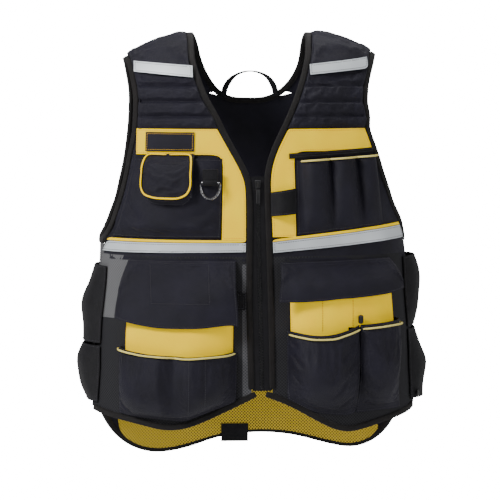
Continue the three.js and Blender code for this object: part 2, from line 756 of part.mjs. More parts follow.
sheet('back_lining', 'yellow_mesh', {
  face: BACK,
  from: 0.82, to: -0.82, top: 0.76, bottom: hem(BACK_HEM, -HALF_BINDING),
  base: -LINING_GAP - STRIP, wall: STRIP, columns: 14, rows: 3,
});
const FRONT_SIDE_TURN = turnOf(SIDE_SHARE, FRONT);
const BACK_SIDE_TURN = turnOf(backArm(1), BACK);
const TURN_GAP = SEAM_GAP / HALF_WIDTH;
sheet('left_side_mesh', 'grey_mesh', {
  face: AROUND,
  from: FRONT_SIDE_TURN + TURN_GAP, to: BACK_SIDE_TURN - TURN_GAP,
  top: SIDE_TOP, bottom: SIDE_BOTTOM,
  base: 0, wall: CLOTH, columns: 5, rows: 5,
});
sheet('right_side_mesh', 'grey_mesh', {
  face: AROUND,
  from: TURN_GAP - BACK_SIDE_TURN, to: -FRONT_SIDE_TURN - TURN_GAP,
  top: SIDE_TOP, bottom: SIDE_BOTTOM,
  base: 0, wall: CLOTH, columns: 5, rows: 5,
});

// Bindings round the neck, the armholes and the hems
const BINDING_LIFT = CLOTH / 2;

function pointsOn(rows, face) {
  return rows.map((row) => skin(turnOf(row.across, face), row.down));
}

function padLine(rows, isInner) {
  return padRungs(rows, 0).map((rung) => {
    const { x, reach } = padSpot(rung, isInner ? 1 : 0);
    return overShoulder(x, reach, 0);
  });
}

function binding(name, points, steps) {
  trim(name, 'dark_binding', points, {
    lift: BINDING_LIFT, width: BINDING_WIDTH, thick: BINDING_THICK, sides: 4, steps,
  });
}

function mirrored(rows) {
  return rows.map((row) => ({ ...row, across: -row.across }));
}

const UNDERARM_TURN = 0.995;
const UNDERARM_DOWN = 0.484;
binding('right_armhole_binding', [
  skin(-UNDERARM_TURN, UNDERARM_DOWN),
  ...pointsOn(RIGHT_ARM_FRONT.slice(1), FRONT).reverse(),
  ...padLine(RIGHT_PAD, false),
  ...pointsOn(mirrored(ARM_BACK).slice(1), BACK),
  skin(UNDERARM_TURN - 2 - TURN_GAP, UNDERARM_DOWN),
], 40);
binding('left_armhole_binding', [
  skin(UNDERARM_TURN, UNDERARM_DOWN),
  ...pointsOn(LEFT_ARM_FRONT.slice(1), FRONT).reverse(),
  ...padLine(LEFT_PAD, false),
  ...pointsOn(ARM_BACK.slice(1), BACK),
  skin(2 - UNDERARM_TURN + TURN_GAP, UNDERARM_DOWN),
], 40);
binding('neck_binding', [
  ...pointsOn(RIGHT_FRONT_EDGE.slice(1), FRONT).reverse(),
  ...padLine(RIGHT_PAD, true),
  ...pointsOn(BACK_SCOOP.slice(1, -1), BACK),
  ...padLine(LEFT_PAD, true).reverse(),
  ...pointsOn(LEFT_FRONT_EDGE.slice(1), FRONT),
], 66);
binding('right_front_hem_binding', pointsOn(RIGHT_FRONT_HEM, FRONT), 14);
binding('left_front_hem_binding', pointsOn(LEFT_FRONT_HEM, FRONT), 14);
binding('back_hem_binding', pointsOn(BACK_HEM, BACK), 28);
sheet('hem_tab', 'black_webbing', {
  face: BACK, from: 0.015, to: -0.157, top: 0.972, bottom: 1.018,
  base: -LINING_GAP - GAP - 2 * STRIP, wall: STRIP, columns: 2, rows: 2,
});

// Reflective tape over the shoulders
const TAPE_BASE = PAD_THICK + GAP;
sheet('right_shoulder_reflector', 'silver_tape', {
  face: FRONT, from: -0.835, to: -0.452,
  top: corners([{ across: -0.85, down: 0.047 }, { across: -0.44, down: 0.058 }], 'across', 'down'),
  bottom: corners([{ across: -0.85, down: 0.071 }, { across: -0.44, down: 0.085 }], 'across', 'down'),
  base: TAPE_BASE, wall: STRIP, columns: 6, rows: 2,
});
sheet('left_shoulder_reflector', 'silver_tape', {
  face: FRONT, from: 0.362, to: 0.772,
  top: corners([{ across: 0.36, down: 0.055 }, { across: 0.79, down: 0.038 }], 'across', 'down'),
  bottom: corners([{ across: 0.36, down: 0.079 }, { across: 0.79, down: 0.064 }], 'across', 'down'),
  base: TAPE_BASE, wall: STRIP, columns: 6, rows: 2,
});

// Zip down the front: two tapes, the teeth between them, the slider and its pull
const ZIP_TOP = 0.324;
const ZIP_BOTTOM = 0.838;
const TAPE_EDGE = BINDING_WIDTH / 2 + 2 * SEAM_GAP;
const HALF_TEETH = TEETH_WIDTH / 2;
sheet('right_zip_tape', 'black_webbing', {
  face: FRONT, from: edge(RIGHT_FRONT_EDGE, TAPE_EDGE), to: edge(ZIP_LINE, -HALF_TEETH - GAP),
  top: ZIP_TOP, bottom: ZIP_BOTTOM, base: 0, wall: CLOTH, columns: 1, rows: 8,
});
sheet('left_zip_tape', 'black_webbing', {
  face: FRONT, from: edge(ZIP_LINE, HALF_TEETH + GAP), to: edge(LEFT_FRONT_EDGE, -TAPE_EDGE),
  top: ZIP_TOP, bottom: ZIP_BOTTOM, base: 0, wall: CLOTH, columns: 1, rows: 8,
});
sheet('zip_teeth', 'black_plastic', {
  face: FRONT, from: edge(ZIP_LINE, -HALF_TEETH), to: edge(ZIP_LINE, HALF_TEETH),
  top: ZIP_TOP + 0.01, bottom: ZIP_BOTTOM, base: 0, wall: TEETH_THICK, columns: 1, rows: 8,
});
const SLIDER_BASE = TEETH_THICK + GAP;
const SLIDER_TOP = ZIP_TOP + 0.004;
sheet('zip_slider', 'black_plastic', {
  face: FRONT, from: edge(ZIP_LINE, -SLIDER_WIDTH / 2), to: edge(ZIP_LINE, SLIDER_WIDTH / 2),
  top: SLIDER_TOP, bottom: SLIDER_TOP + SLIDER_LENGTH / VEST_LENGTH,
  base: SLIDER_BASE, wall: SLIDER_THICK, columns: 1, rows: 1,
});
const PULL_TOP = SLIDER_TOP + (SLIDER_LENGTH + GAP) / VEST_LENGTH;
sheet('zip_pull', 'black_plastic', {
  face: FRONT, from: edge(ZIP_LINE, -PULL_WIDTH / 2), to: edge(ZIP_LINE, PULL_WIDTH / 2),
  top: PULL_TOP, bottom: PULL_TOP + PULL_LENGTH / VEST_LENGTH,
  base: SLIDER_BASE, wall: PULL_THICK, columns: 1, rows: 1,
});

// Reflective bands round the waist, each with a pale edging above it
function waistBand(side, from, to, topRows, bandRows, bottomRows) {
  const shape = { face: FRONT, from, to, base: CLOTH + SEAM_GAP, wall: STRIP, columns: 14, rows: 1 };
  const line = (rows) => corners(rows, 'across', 'down');
  sheet(`${side}_waist_edging`, 'yellow_cloth', {
    ...shape, top: line(topRows), bottom: (at) => line(bandRows)(at) - SEAM,
  });
  sheet(`${side}_waist_reflector`, 'silver_tape', {
    ...shape, top: line(bandRows), bottom: line(bottomRows),
  });
}
waistBand(
  'right', armEdge(RIGHT_ARM_FRONT, HALF_BINDING + INSET), edge(RIGHT_FRONT_EDGE, -HALF_BINDING - INSET),
  [{ across: -0.97, down: 0.473 }, { across: -0.10, down: 0.474 }],
  [{ across: -0.97, down: 0.481 }, { across: -0.10, down: 0.481 }],
  [{ across: -0.97, down: 0.507 }, { across: -0.10, down: 0.503 }],
);
waistBand(
  'left', edge(LEFT_FRONT_EDGE, HALF_BINDING + INSET), armEdge(LEFT_ARM_FRONT, HALF_BINDING + INSET),
  [{ across: 0.06, down: 0.473 }, { across: 0.98, down: 0.436 }],
  [{ across: 0.06, down: 0.480 }, { across: 0.98, down: 0.444 }],
  [{ across: 0.06, down: 0.506 }, { across: 0.98, down: 0.476 }],
);

// Yellow chest panels: a band across the chest and a leg down beside the zip, in one cloth
const YOKE_TOP = PAD_BOTTOM + 2 * SEAM;
const YOKE_BAND_ROWS = 3;
const YOKE_LEG_ROWS = 6;
const YOKE_BAND_COLUMNS = 6;
const YOKE_LEG_COLUMNS = 3;
const LEG_LEAST = 0.05;

// Shares from 0 to 1 that are even up to a corner and even after it
function cornered(corner, before, after) {
  const first = evenly(before).map((k) => k * corner);
  return [...first, ...evenly(after).slice(1).map((k) => corner + k * (1 - corner))];
}

function yellowPanel(name, band) {
  const legTurn = turnOf(band.leg, FRONT);
  const rightSide = band.leg < 0;
  const share = (band.bandBottom - YOKE_TOP) / (band.bottom - YOKE_TOP);
  const bandColumns = rightSide ? YOKE_BAND_COLUMNS : YOKE_LEG_COLUMNS;
  const legColumns = rightSide ? YOKE_LEG_COLUMNS : YOKE_BAND_COLUMNS;
  const corner = bandColumns / (bandColumns + legColumns);
  const turnAcross = (s, down) => {
    const from = turnOf(valueOf(band.from, down), FRONT);
    const to = turnOf(valueOf(band.to, down), FRONT);
    const legEdge = rightSide
      ? Math.min(legTurn, THREE.MathUtils.lerp(to, from, LEG_LEAST))
      : Math.max(legTurn, THREE.MathUtils.lerp(from, to, LEG_LEAST));
    const [a, b, k] = s <= corner ? [from, legEdge, s / corner] : [legEdge, to, (s - corner) / (1 - corner)];
    return THREE.MathUtils.lerp(a, b, k);
  };
  const rowAt = (down) => evenly(bandColumns + legColumns)
    .map((s) => lifted(turnAcross(s, down), down, SECOND_LAYER));
  const grid = cornered(share, YOKE_BAND_ROWS, YOKE_LEG_ROWS)
    .map((t) => rowAt(THREE.MathUtils.lerp(YOKE_TOP, band.bottom, t)));
  const keep = (i, j) => i < YOKE_BAND_ROWS || (rightSide ? j >= bandColumns : j < bandColumns);
  add(name, 'yellow_cloth', slab(grid, STRIP, keep));
}
yellowPanel('right_yellow_panel', {
  from: -0.824, leg: -0.242, to: edge(RIGHT_FRONT_EDGE, -HALF_BINDING - PANEL_INSET),
  bandBottom: 0.264, bottom: 0.471,
});
yellowPanel('left_yellow_panel', {
  from: edge(LEFT_FRONT_EDGE, HALF_BINDING + PANEL_INSET), leg: 0.228, bandBottom: 0.256, bottom: 0.464,
  to: corners([{ down: 0.205, across: 0.735 }, { down: 0.256, across: 0.782 }]),
});
sheet('label_patch', 'black_cloth', {
  face: FRONT, from: -0.765, to: -0.445, top: 0.2125, bottom: 0.2585,
  base: THIRD_LAYER, wall: STRIP, columns: 6, rows: 2,
});

// A piping or binding along a line of spots on a sheet
function pipingOn(name, finish, spec, spots, options) {
  const line = spots.map(([s, t]) => new THREE.Vector3(s, t, 0));
  const curve = new THREE.CatmullRomCurve3(line, false, 'centripetal');
  const marks = Array.from({ length: options.steps + 1 }, (_, k) => curve.getPoint(k / options.steps));
  const normals = marks.map((at) => sheetNormal(spec, at.x, at.y));
  const placed = marks.map((at, k) => sheetPoint(spec, at.x, at.y)
    .addScaledVector(normals[k], spec.wall + PIPING_GAP + options.thick / 2));
  add(name, finish, sweep(placed, normals, options.width, options.thick, 4));
}

// Right chest: a wide pouch, and on it a small pocket with a piped flap
const STEEP_COLUMNS = [0, 0.02, 0.06, 0.14, 0.32, 0.5, 0.68, 0.86, 0.94, 0.98, 1];
const chestPouch = sheet('chest_pouch', 'black_cloth', {
  face: FRONT,
  from: armEdge(RIGHT_ARM_FRONT, POUCH_FROM_ARM), to: -0.258, top: 0.276, bottom: 0.468,
  base: SECOND_LAYER, wall: CLOTH, bulge: fullness(CHEST_POUCH_DEPTH, 0.7, 10, 6),
  columns: STEEP_COLUMNS, rows: POCKET_ROWS,
});
const flapPocket = sheet('flap_pocket', 'black_cloth', {
  face: FRONT, from: -0.732, to: -0.456, top: 0.290,
  bottom: corners([
    { across: -0.74, down: 0.372 },
    { across: -0.69, down: 0.387 },
    { across: -0.50, down: 0.389 },
    { across: -0.45, down: 0.376 },
  ], 'across', 'down'),
  base: onTop(chestPouch), wall: CLOTH, bulge: fullness(FLAP_POCKET_DEPTH, 0.8, 8, 6),
  columns: STEEP_COLUMNS, rows: POCKET_ROWS,
});
const FLAP_STAND = CHEST_POUCH_DEPTH + FLAP_POCKET_DEPTH + 2 * CLOTH + 3 * GAP;

// A flap rises from its top seam to its stand and hangs over what is below
function hanging(stand, rise, fall) {
  return (s, t) => {
    const climb = Math.sin(Math.min(1, t / rise) * QUARTER);
    return stand * climb * (1 - fall * Math.abs(2 * s - 1) ** 6);
  };
}
const chestFlap = sheet('chest_flap', 'black_cloth', {
  face: FRONT, from: -0.750, to: -0.440, top: 0.2665,
  bottom: corners([
    { across: -0.750, down: 0.352 },
    { across: -0.718, down: 0.371 },
    { across: -0.655, down: 0.379 },
    { across: -0.530, down: 0.380 },
    { across: -0.475, down: 0.372 },
    { across: -0.440, down: 0.354 },
  ], 'across', 'down'),
  base: THIRD_LAYER - SEAT, wall: CLOTH, bulge: hanging(FLAP_STAND, 0.3, 0.2),
  columns: [0, 0.1, 0.3, 0.5, 0.7, 0.9, 1], rows: [0, 0.08, 0.16, 0.3, 0.55, 0.8, 1],
});
pipingOn('flap_piping', 'yellow_cloth', chestFlap, [
  [0.49, 0.05], [0.1, 0.05], [0.05, 0.1], [0.05, 0.5], [0.05, 0.85], [0.12, 0.93], [0.3, 0.94],
  [0.5, 0.94], [0.7, 0.94], [0.88, 0.93], [0.95, 0.85], [0.95, 0.5], [0.95, 0.1], [0.9, 0.05], [0.51, 0.05],
], { width: PIPING, thick: PIPING * FLAT_PIPING, steps: 32 });

// D-ring on its bar in a webbing keeper
const RING_ACROSS = -0.33;
const RING_DOWN = 0.335;
const ringTurn = turnOf(RING_ACROSS, FRONT);
const channelRadius = RING_WIRE / 2 + RING_CLEARANCE;
const loopRadius = channelRadius + WEBBING;
const ringSeat = onTop(chestPouch)(ringTurn, RING_DOWN) + loopRadius;
const ringCentre = lifted(ringTurn, RING_DOWN, ringSeat);
const ringOut = normalAt(ringCentre);
ringOut.z = 0;
ringOut.normalize();
const ringAlong = new THREE.Vector3(0, 0, 1).cross(ringOut).multiplyScalar(-1).normalize();

function ringPlace(along, out, up) {
  return ringCentre.clone()
    .addScaledVector(ringAlong, along).addScaledVector(ringOut, out).add(new THREE.Vector3(0, 0, up));
}
const RING_STEPS = 14;
const ringLine = [];
const halfRing = (RING_WIDTH - RING_WIRE) / 2;
const ringDrop = RING_HEIGHT - RING_WIRE;
for (let k = 0; k <= RING_STEPS; k += 1) {
  const angle = Math.PI * k / RING_STEPS;
  ringLine.push(ringPlace(halfRing * Math.cos(angle), 0, -ringDrop * Math.sin(angle) ** 0.9));
}
const ringNormals = ringLine.map(() => ringOut);
add('d_ring', 'steel', sweep(ringLine, ringNormals, RING_WIRE, RING_WIRE, 8, true));

// Keeper outline in the plane across the bar: a loop round the bar and a tab up to its seam
const keeperOutline = new THREE.Shape();
const tabHalf = WEBBING;
const tabAngle = Math.asin(tabHalf / loopRadius);
keeperOutline.moveTo(-tabHalf, KEEPER_RISE);
keeperOutline.lineTo(-tabHalf, loopRadius * Math.cos(tabAngle));
keeperOutline.absarc(0, 0, loopRadius, QUARTER + tabAngle, QUARTER - tabAngle + 2 * Math.PI, false);
keeperOutline.lineTo(tabHalf, KEEPER_RISE);
keeperOutline.closePath();
const channel = new THREE.Path();
channel.absarc(0, 0, channelRadius, 0, 2 * Math.PI, true);
keeperOutline.holes.push(channel);
const keeper = new THREE.ExtrudeGeometry(keeperOutline, {
  depth: KEEPER_WIDTH, bevelEnabled: false, curveSegments: 8,
});
const keeperFrame = new THREE.Matrix4().makeBasis(ringOut, new THREE.Vector3(0, 0, 1), ringAlong.clone());
keeper.translate(0, 0, -KEEPER_WIDTH / 2);
keeper.applyMatrix4(keeperFrame.setPosition(ringCentre));
add('ring_keeper', 'black_webbing', turnedOut(plain(keeper)));

// The bare closed mesh of a three.js shape, its shared corners joined
function plain(geometry) {
  const bare = geometry.index ? geometry.toNonIndexed() : geometry;
  const position = bare.getAttribute('position');
  const seen = new Map();
  const points = [];
  const index = [];
  for (let k = 0; k < position.count; k += 1) {
    const p = new THREE.Vector3().fromBufferAttribute(position, k);
    const key = [p.x, p.y, p.z].map((v) => Math.round(v * 1e4)).join(' ');
    if (!seen.has(key)) {
      seen.set(key, points.length);
      points.push(p);
    }
    index.push(seen.get(key));
  }
  return solid(points, index);
}

// Left chest: webbing loop over the yellow leg, and a pocket of three tool tubes
sheet('webbing_loop', 'black_webbing', {
  face: FRONT, from: 0.075, to: 0.236,
  top: corners([{ across: 0.07, down: 0.358 }, { across: 0.24, down: 0.348 }], 'across', 'down'),
  bottom: corners([{ across: 0.07, down: 0.416 }, { across: 0.24, down: 0.410 }], 'across', 'down'),
  base: THIRD_LAYER - LOOP_SEAT, wall: WEBBING, bulge: (s) => LOOP_STAND * Math.sin(Math.PI * s),
  columns: 8, rows: 2,
});
const TUBES = [
  { from: 0.06, to: 0.33 },
  { from: 0.36, to: 0.66 },
  { from: 0.70, to: 0.98 },
];
const TUBE_WEB = 0.06;
const TUBE_TAPER = 0.35;
const tubeColumns = [0, ...TUBES.flatMap(({ from, to }) => [0, 0.12, 0.3, 0.5, 0.7, 0.88, 1]
  .map((k) => THREE.MathUtils.lerp(from, to, k))), 1];

function tubes(s, t) {
  const tube = TUBES.find(({ from, to }) => s > from && s < to);
  const round = tube ? 1 - Math.abs(2 * (s - tube.from) / (tube.to - tube.from) - 1) ** 2.6 : 0;
  const taper = (1 - TUBE_TAPER * t) * (1 - t ** 7) * Math.min(1, s * 40);
  return TUBE_DEPTH * (TUBE_WEB + (1 - TUBE_WEB) * round) * taper;
}
const toolPocket = sheet('tool_pocket', 'black_cloth', {
  face: FRONT, from: 0.245,
  to: corners([{ down: 0.27, across: 0.80 }, { down: 0.47, across: 0.832 }]),
  top: corners([{ across: 0.24, down: 0.281 }, { across: 0.80, down: 0.268 }], 'across', 'down'),
  bottom: corners([{ across: 0.24, down: 0.462 }, { across: 0.83, down: 0.438 }], 'across', 'down'),
  base: SECOND_LAYER, wall: CLOTH, bulge: tubes,
  columns: tubeColumns, rows: [0, 0.3, 0.6, 0.85, 0.95, 1],
});
sheet('tool_binding', 'dark_binding', {
  face: FRONT, from: 0.20, to: 0.79,
  top: corners([{ across: 0.20, down: 0.264 }, { across: 0.80, down: 0.251 }], 'across', 'down'),
  bottom: corners([{ across: 0.20, down: 0.277 }, { across: 0.80, down: 0.264 }], 'across', 'down'),
  base: THIRD_LAYER, wall: STRIP, columns: 8, rows: 1,
});
pipingOn('tool_piping', 'cream_piping', toolPocket, tubeColumns.slice(1, -1).map((s) => [s, 0.02]), {
  width: PIPING, thick: PIPING * FLAT_PIPING, steps: 48,
});

// Right hip: a yellow pouch, a black pouch with a pleat in front of it, and a flap above
const hipBottomRight = corners([
  { across: -0.84, down: 0.900 },
  { across: -0.75, down: 0.907 },
  { across: -0.60, down: 0.911 },
  { across: -0.46, down: 0.916 },
  { across: -0.27, down: 0.886 },
  { across: -0.15, down: 0.868 },
], 'across', 'down');
sheet('right_hip_liner', 'yellow_cloth', {
  face: FRONT, from: -0.812, to: -0.172, top: 0.655, bottom: (at) => hipBottomRight(at) - 0.02,
  base: SECOND_LAYER, wall: CLOTH, bulge: fullness(LINER_DEPTH, 0.95, 6),
  columns: POCKET_COLUMNS, rows: [0, 0.4, 0.75, 0.92, 1],
});

// Fullness of a pouch that a pleat parts in two
function pleated(depth, pleat, pleatWidth, pleatDip) {
  const full = fullness(depth, 0.86, 6, 4);
  return (s, t) => {
    const near = Math.max(0, 1 - Math.abs(s - pleat) / pleatWidth);
    return full(s, t) * (1 - pleatDip * near * near * (3 - 2 * near));
  };
}
const rightPouch = sheet('right_hip_pouch', 'black_cloth', {
  face: FRONT, from: -0.836, to: -0.150,
  top: corners([
    { across: -0.84, down: 0.736 },
    { across: -0.67, down: 0.751 },
    { across: -0.43, down: 0.758 },
    { across: -0.22, down: 0.752 },
    { across: -0.15, down: 0.745 },
  ], 'across', 'down'),
  bottom: hipBottomRight,
  base: SECOND_LAYER, wall: CLOTH, bulge: pleated(POUCH_DEPTH, 0.58, 0.12, 0.3),
  columns: [0, 0.03, 0.1, 0.22, 0.36, 0.46, 0.52, 0.58, 0.64, 0.7, 0.8, 0.9, 0.97, 1], rows: POCKET_ROWS,
});
const RIGHT_PIPING_SHARES = [0.01, 0.1, 0.3, 0.5, 0.58, 0.66, 0.85, 0.99];
pipingOn('right_hip_piping', 'cream_piping', rightPouch, RIGHT_PIPING_SHARES.map((s) => [s, 0.03]), {
  width: PIPING, thick: PIPING * FLAT_PIPING, steps: 20,
});
sheet('right_hip_flap', 'black_cloth', {
  face: FRONT, from: -0.828, to: -0.158, top: WAIST_SEAM + 2 * SEAM,
  bottom: corners([
    { across: -0.82, down: 0.668 },
    { across: -0.62, down: 0.682 },
    { across: -0.30, down: 0.684 },
    { across: -0.16, down: 0.670 },
  ], 'across', 'down'),
  base: SECOND_LAYER, wall: CLOTH, bulge: hanging(HIP_FLAP_STAND, 0.75, 0.25),
  columns: [0, 0.08, 0.24, 0.42, 0.6, 0.78, 0.93, 1], rows: [0, 0.14, 0.28, 0.44, 0.6, 0.8, 1],
});
sheet('zip_side_tab', 'black_webbing', {
  face: FRONT, from: -0.148, to: -0.092, top: 0.604, bottom: 0.645,
  base: SECOND_LAYER, wall: WEBBING, columns: 1, rows: 1,
});

// Left hip: a yellow pouch, two black pouches in front of it, a flap and a toggle
const hipBottomLeft = corners([
  { across: 0.18, down: 0.862 },
  { across: 0.32, down: 0.893 },
  { across: 0.52, down: 0.903 },
  { across: 0.60, down: 0.896 },
  { across: 0.87, down: 0.890 },
], 'across', 'down');
const leftLiner = sheet('left_hip_liner', 'yellow_cloth', {
  face: FRONT, from: 0.195, to: 0.838,
  top: corners([{ across: 0.18, down: 0.606 }, { across: 0.84, down: 0.584 }], 'across', 'down'),
  bottom: (at) => hipBottomLeft(at) - 0.02,
  base: SECOND_LAYER, wall: CLOTH, bulge: fullness(LINER_DEPTH, 0.95, 6),
  columns: POCKET_COLUMNS, rows: [0, 0.4, 0.75, 0.92, 1],
});
const leftPouchA = sheet('left_hip_pouch_front', 'black_cloth', {
  face: FRONT, from: 0.178, to: 0.578,
  top: corners([
    { across: 0.18, down: 0.700 },
    { across: 0.30, down: 0.711 },
    { across: 0.42, down: 0.711 },
    { across: 0.58, down: 0.687 },
  ], 'across', 'down'),
  bottom: hipBottomLeft,
  base: (turn, down) => Math.max(SECOND_LAYER, insideOf(leftLiner, turn, down)),
  wall: CLOTH, bulge: fullness(POUCH_DEPTH - LINER_DEPTH, 0.7, 4, 4),
  columns: POCKET_COLUMNS, rows: POCKET_ROWS,
});
const leftPouchB = sheet('left_hip_pouch_side', 'black_cloth', {
  face: FRONT, from: 0.600, to: 0.862,
  top: corners([{ across: 0.60, down: 0.687 }, { across: 0.86, down: 0.676 }], 'across', 'down'),
  bottom: hipBottomLeft,
  base: (turn, down) => Math.max(SECOND_LAYER, insideOf(leftLiner, turn, down)),
  wall: CLOTH, bulge: fullness(POUCH_DEPTH - LINER_DEPTH, 0.7, 4, 4),
  columns: POCKET_COLUMNS, rows: POCKET_ROWS,
});

// Lift of the outside of a pouch that another piece wraps, or nothing beyond its edges
function insideOf(spec, turn, down) {
  const { s, t } = sharesOn(spec, turn, down);
  if (s < 0 || s > 1 || t < 0 || t > 1) return 0;
  return onTop(spec)(turn, down) + GAP;
}
for (const [name, pouch] of [['left_hip_piping_front', leftPouchA], ['left_hip_piping_side', leftPouchB]]) {
  pipingOn(name, 'cream_piping', pouch, [[0.01, 0.03], [0.3, 0.03], [0.7, 0.03], [0.99, 0.03]], {
    width: PIPING, thick: PIPING * FLAT_PIPING, steps: 14,
  });
}
sheet('left_hip_flap', 'black_cloth', {
  face: FRONT, from: 0.128, to: 0.858,
  top: corners([{ across: 0.12, down: 0.530 }, { across: 0.86, down: 0.525 }], 'across', 'down'),
  bottom: corners([{ across: 0.13, down: 0.624 }, { across: 0.86, down: 0.600 }], 'across', 'down'),
  base: SECOND_LAYER, wall: CLOTH, bulge: hanging(HIP_FLAP_STAND, 0.8, 0.25),
  columns: [0, 0.08, 0.24, 0.42, 0.6, 0.78, 0.93, 1], rows: [0, 0.14, 0.28, 0.44, 0.6, 0.8, 1],
});

// A short round piece standing on a sheet: its centre line runs from start to end off the cloth
function pegOn(name, finish, spec, place, { from, to, width, sides }) {
  const point = sheetPoint(spec, place.s, place.t);
  const [start, end] = [from, to].map((way) => point.clone()
    .addScaledVector(sheetNormal(spec, place.s, place.t), spec.wall + way.out)
    .add(new THREE.Vector3(0, 0, way.up)));
  const facing = new THREE.Vector3(1, 0, 0);
  add(name, finish, sweep([start, end], [facing, facing], width, width, sides));
}
const toggleOut = TOGGLE_WIDTH / 2 + GAP;
pegOn('toggle', 'black_plastic', leftLiner, { s: 0.52, t: 0.27 }, {
  from: { out: toggleOut, up: TOGGLE_LENGTH / 2 }, to: { out: toggleOut, up: -TOGGLE_LENGTH / 2 },
  width: TOGGLE_WIDTH, sides: 8,
});

// Side straps, bowed off the body in folds
function strap(name, from, to, top, bottom, folds) {
  const stand = corners(folds, 'line', 'stand');
  return sheet(name, 'black_webbing', {
    face: AROUND, from, to, top, bottom, base: SECOND_LAYER, wall: WEBBING,
    bulge: (s, t) => STRAP_BOW * stand(t) * Math.sin(Math.PI * s) ** 0.7,
    columns: 8, rows: folds.map((row) => row.line),
  });
}
const STRAP_FRONT_TURN = 0.80;
const STRAP_BACK_TURN = 1.24;
strap('right_upper_strap', -STRAP_BACK_TURN, -STRAP_FRONT_TURN, 0.545, 0.735, UPPER_STRAP_FOLDS);
strap('right_lower_strap', -STRAP_BACK_TURN, -STRAP_FRONT_TURN, 0.742, 0.880, LOWER_STRAP_FOLDS);
strap('left_upper_strap', STRAP_FRONT_TURN, STRAP_BACK_TURN, 0.525, 0.700, LOWER_STRAP_FOLDS);
const studStrap = strap(
  'left_lower_strap', STRAP_FRONT_TURN, STRAP_BACK_TURN, 0.707, 0.880, UPPER_STRAP_FOLDS,
);
pegOn('stud', 'black_plastic', studStrap, { s: 0.12, t: 0.93 }, {
  from: { out: GAP, up: 0 }, to: { out: GAP + STUD_THICK, up: 0 }, width: STUD_WIDTH, sides: 12,
});

// Hanger loop standing up from the back of the neck, its tape turned edge on at the top
const HANGER_LINE = [
  { across: -0.175, down: 0.136, turned: 0 },
  { across: -0.150, down: 0.105, turned: 0.15 },
  { across: -0.080, down: 0.078, turned: 0.8 },
  { across: 0.030, down: 0.068, turned: 1 },
  { across: 0.140, down: 0.080, turned: 0.8 },
  { across: 0.195, down: 0.105, turned: 0.15 },
  { across: 0.215, down: 0.133, turned: 0 },
];
const HANGER_IN = BINDING_THICK / 2 + HANGER_THICK / 2 + HANGER_CLEAR;
const hangerPoints = HANGER_LINE.map((row) => {
  const p = skin(turnOf(row.across, BACK), HANGER_LINE[0].down);
  return new THREE.Vector3(p.x, p.y - HANGER_IN, -row.down * VEST_LENGTH);
});
const hangerCurve = new THREE.CatmullRomCurve3(hangerPoints, false, 'centripetal');
const HANGER_STEPS = 18;
const hangerCentres = hangerCurve.getPoints(HANGER_STEPS);
const hangerNormals = hangerCentres.map((p, k) => {
  const along = hangerCurve.getTangent(k / HANGER_STEPS);
  const at = k / HANGER_STEPS * (HANGER_LINE.length - 1);
  const row = Math.min(Math.floor(at), HANGER_LINE.length - 2);
  const turned = THREE.MathUtils.lerp(HANGER_LINE[row].turned, HANGER_LINE[row + 1].turned, at - row);
  const inPlane = new THREE.Vector3(0, 1, 0).cross(along).normalize();
  return new THREE.Vector3(0, -Math.cos(turned * QUARTER), 0)
    .addScaledVector(inPlane, Math.sin(turned * QUARTER));
});
add('hanger_loop', 'black_webbing', sweep(hangerCentres, hangerNormals, HANGER_WIDTH, HANGER_THICK, 4));

export default vest;
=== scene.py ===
# %% [markdown]
# # A utility work vest
#
# A sleeveless work vest: black woven cloth with yellow chest panels, ribbed shoulder pads, reflective
# bands, a row of pockets and a mesh lining. The CAD part gives every piece its place and its size. This
# lesson dresses those pieces as cloth, webbing, piping and plastic, and leaves the steel ring as the CAD
# has it.

# %%
import json
import math

import bmesh
import bpy
import numpy as np
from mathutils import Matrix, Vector, noise
from mathutils.bvhtree import BVHTree
from mathutils.kdtree import KDTree


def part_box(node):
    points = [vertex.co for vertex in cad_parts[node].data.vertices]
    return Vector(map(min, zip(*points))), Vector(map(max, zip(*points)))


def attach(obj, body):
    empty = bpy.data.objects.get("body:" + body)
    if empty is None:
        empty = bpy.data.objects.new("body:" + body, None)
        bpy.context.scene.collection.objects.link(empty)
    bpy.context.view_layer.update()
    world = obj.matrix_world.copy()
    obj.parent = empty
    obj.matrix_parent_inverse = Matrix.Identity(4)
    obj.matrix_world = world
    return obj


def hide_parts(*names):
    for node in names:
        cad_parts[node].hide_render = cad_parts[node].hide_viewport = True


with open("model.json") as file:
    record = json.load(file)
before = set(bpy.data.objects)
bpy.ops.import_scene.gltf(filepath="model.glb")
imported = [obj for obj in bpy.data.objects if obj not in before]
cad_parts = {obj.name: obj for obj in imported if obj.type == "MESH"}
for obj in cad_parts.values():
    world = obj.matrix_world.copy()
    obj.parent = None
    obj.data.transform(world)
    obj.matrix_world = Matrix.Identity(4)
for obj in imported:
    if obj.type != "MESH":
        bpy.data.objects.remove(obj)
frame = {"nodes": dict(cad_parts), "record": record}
nodes = frame["nodes"]
slots = {row["node"]: row["material_slot"] for row in frame["record"]["subparts"]}
MM = 0.001


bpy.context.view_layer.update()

# %% [markdown]
# ## Materials
#
# Every cloth is procedural. The pieces carry a UV map in metres, along the girth and up the body, so that
# weave, net and ribs keep their real size. Each effect is a small node group that gives a height, a shade
# or a mask, and the Principled shader of each material takes those.


# %%
BUMP_DEPTH = 0.4 * MM


def linear(red, green, blue):
    def channel(value):
        value /= 255
        return value / 12.92 if value <= 0.04045 else ((value + 0.055) / 1.055) ** 2.4

    return (channel(red), channel(green), channel(blue), 1)


def add_node(tree, kind, **settings):
    made = tree.nodes.new(kind)
    for name, value in settings.items():
        setattr(made, name, value)
    return made


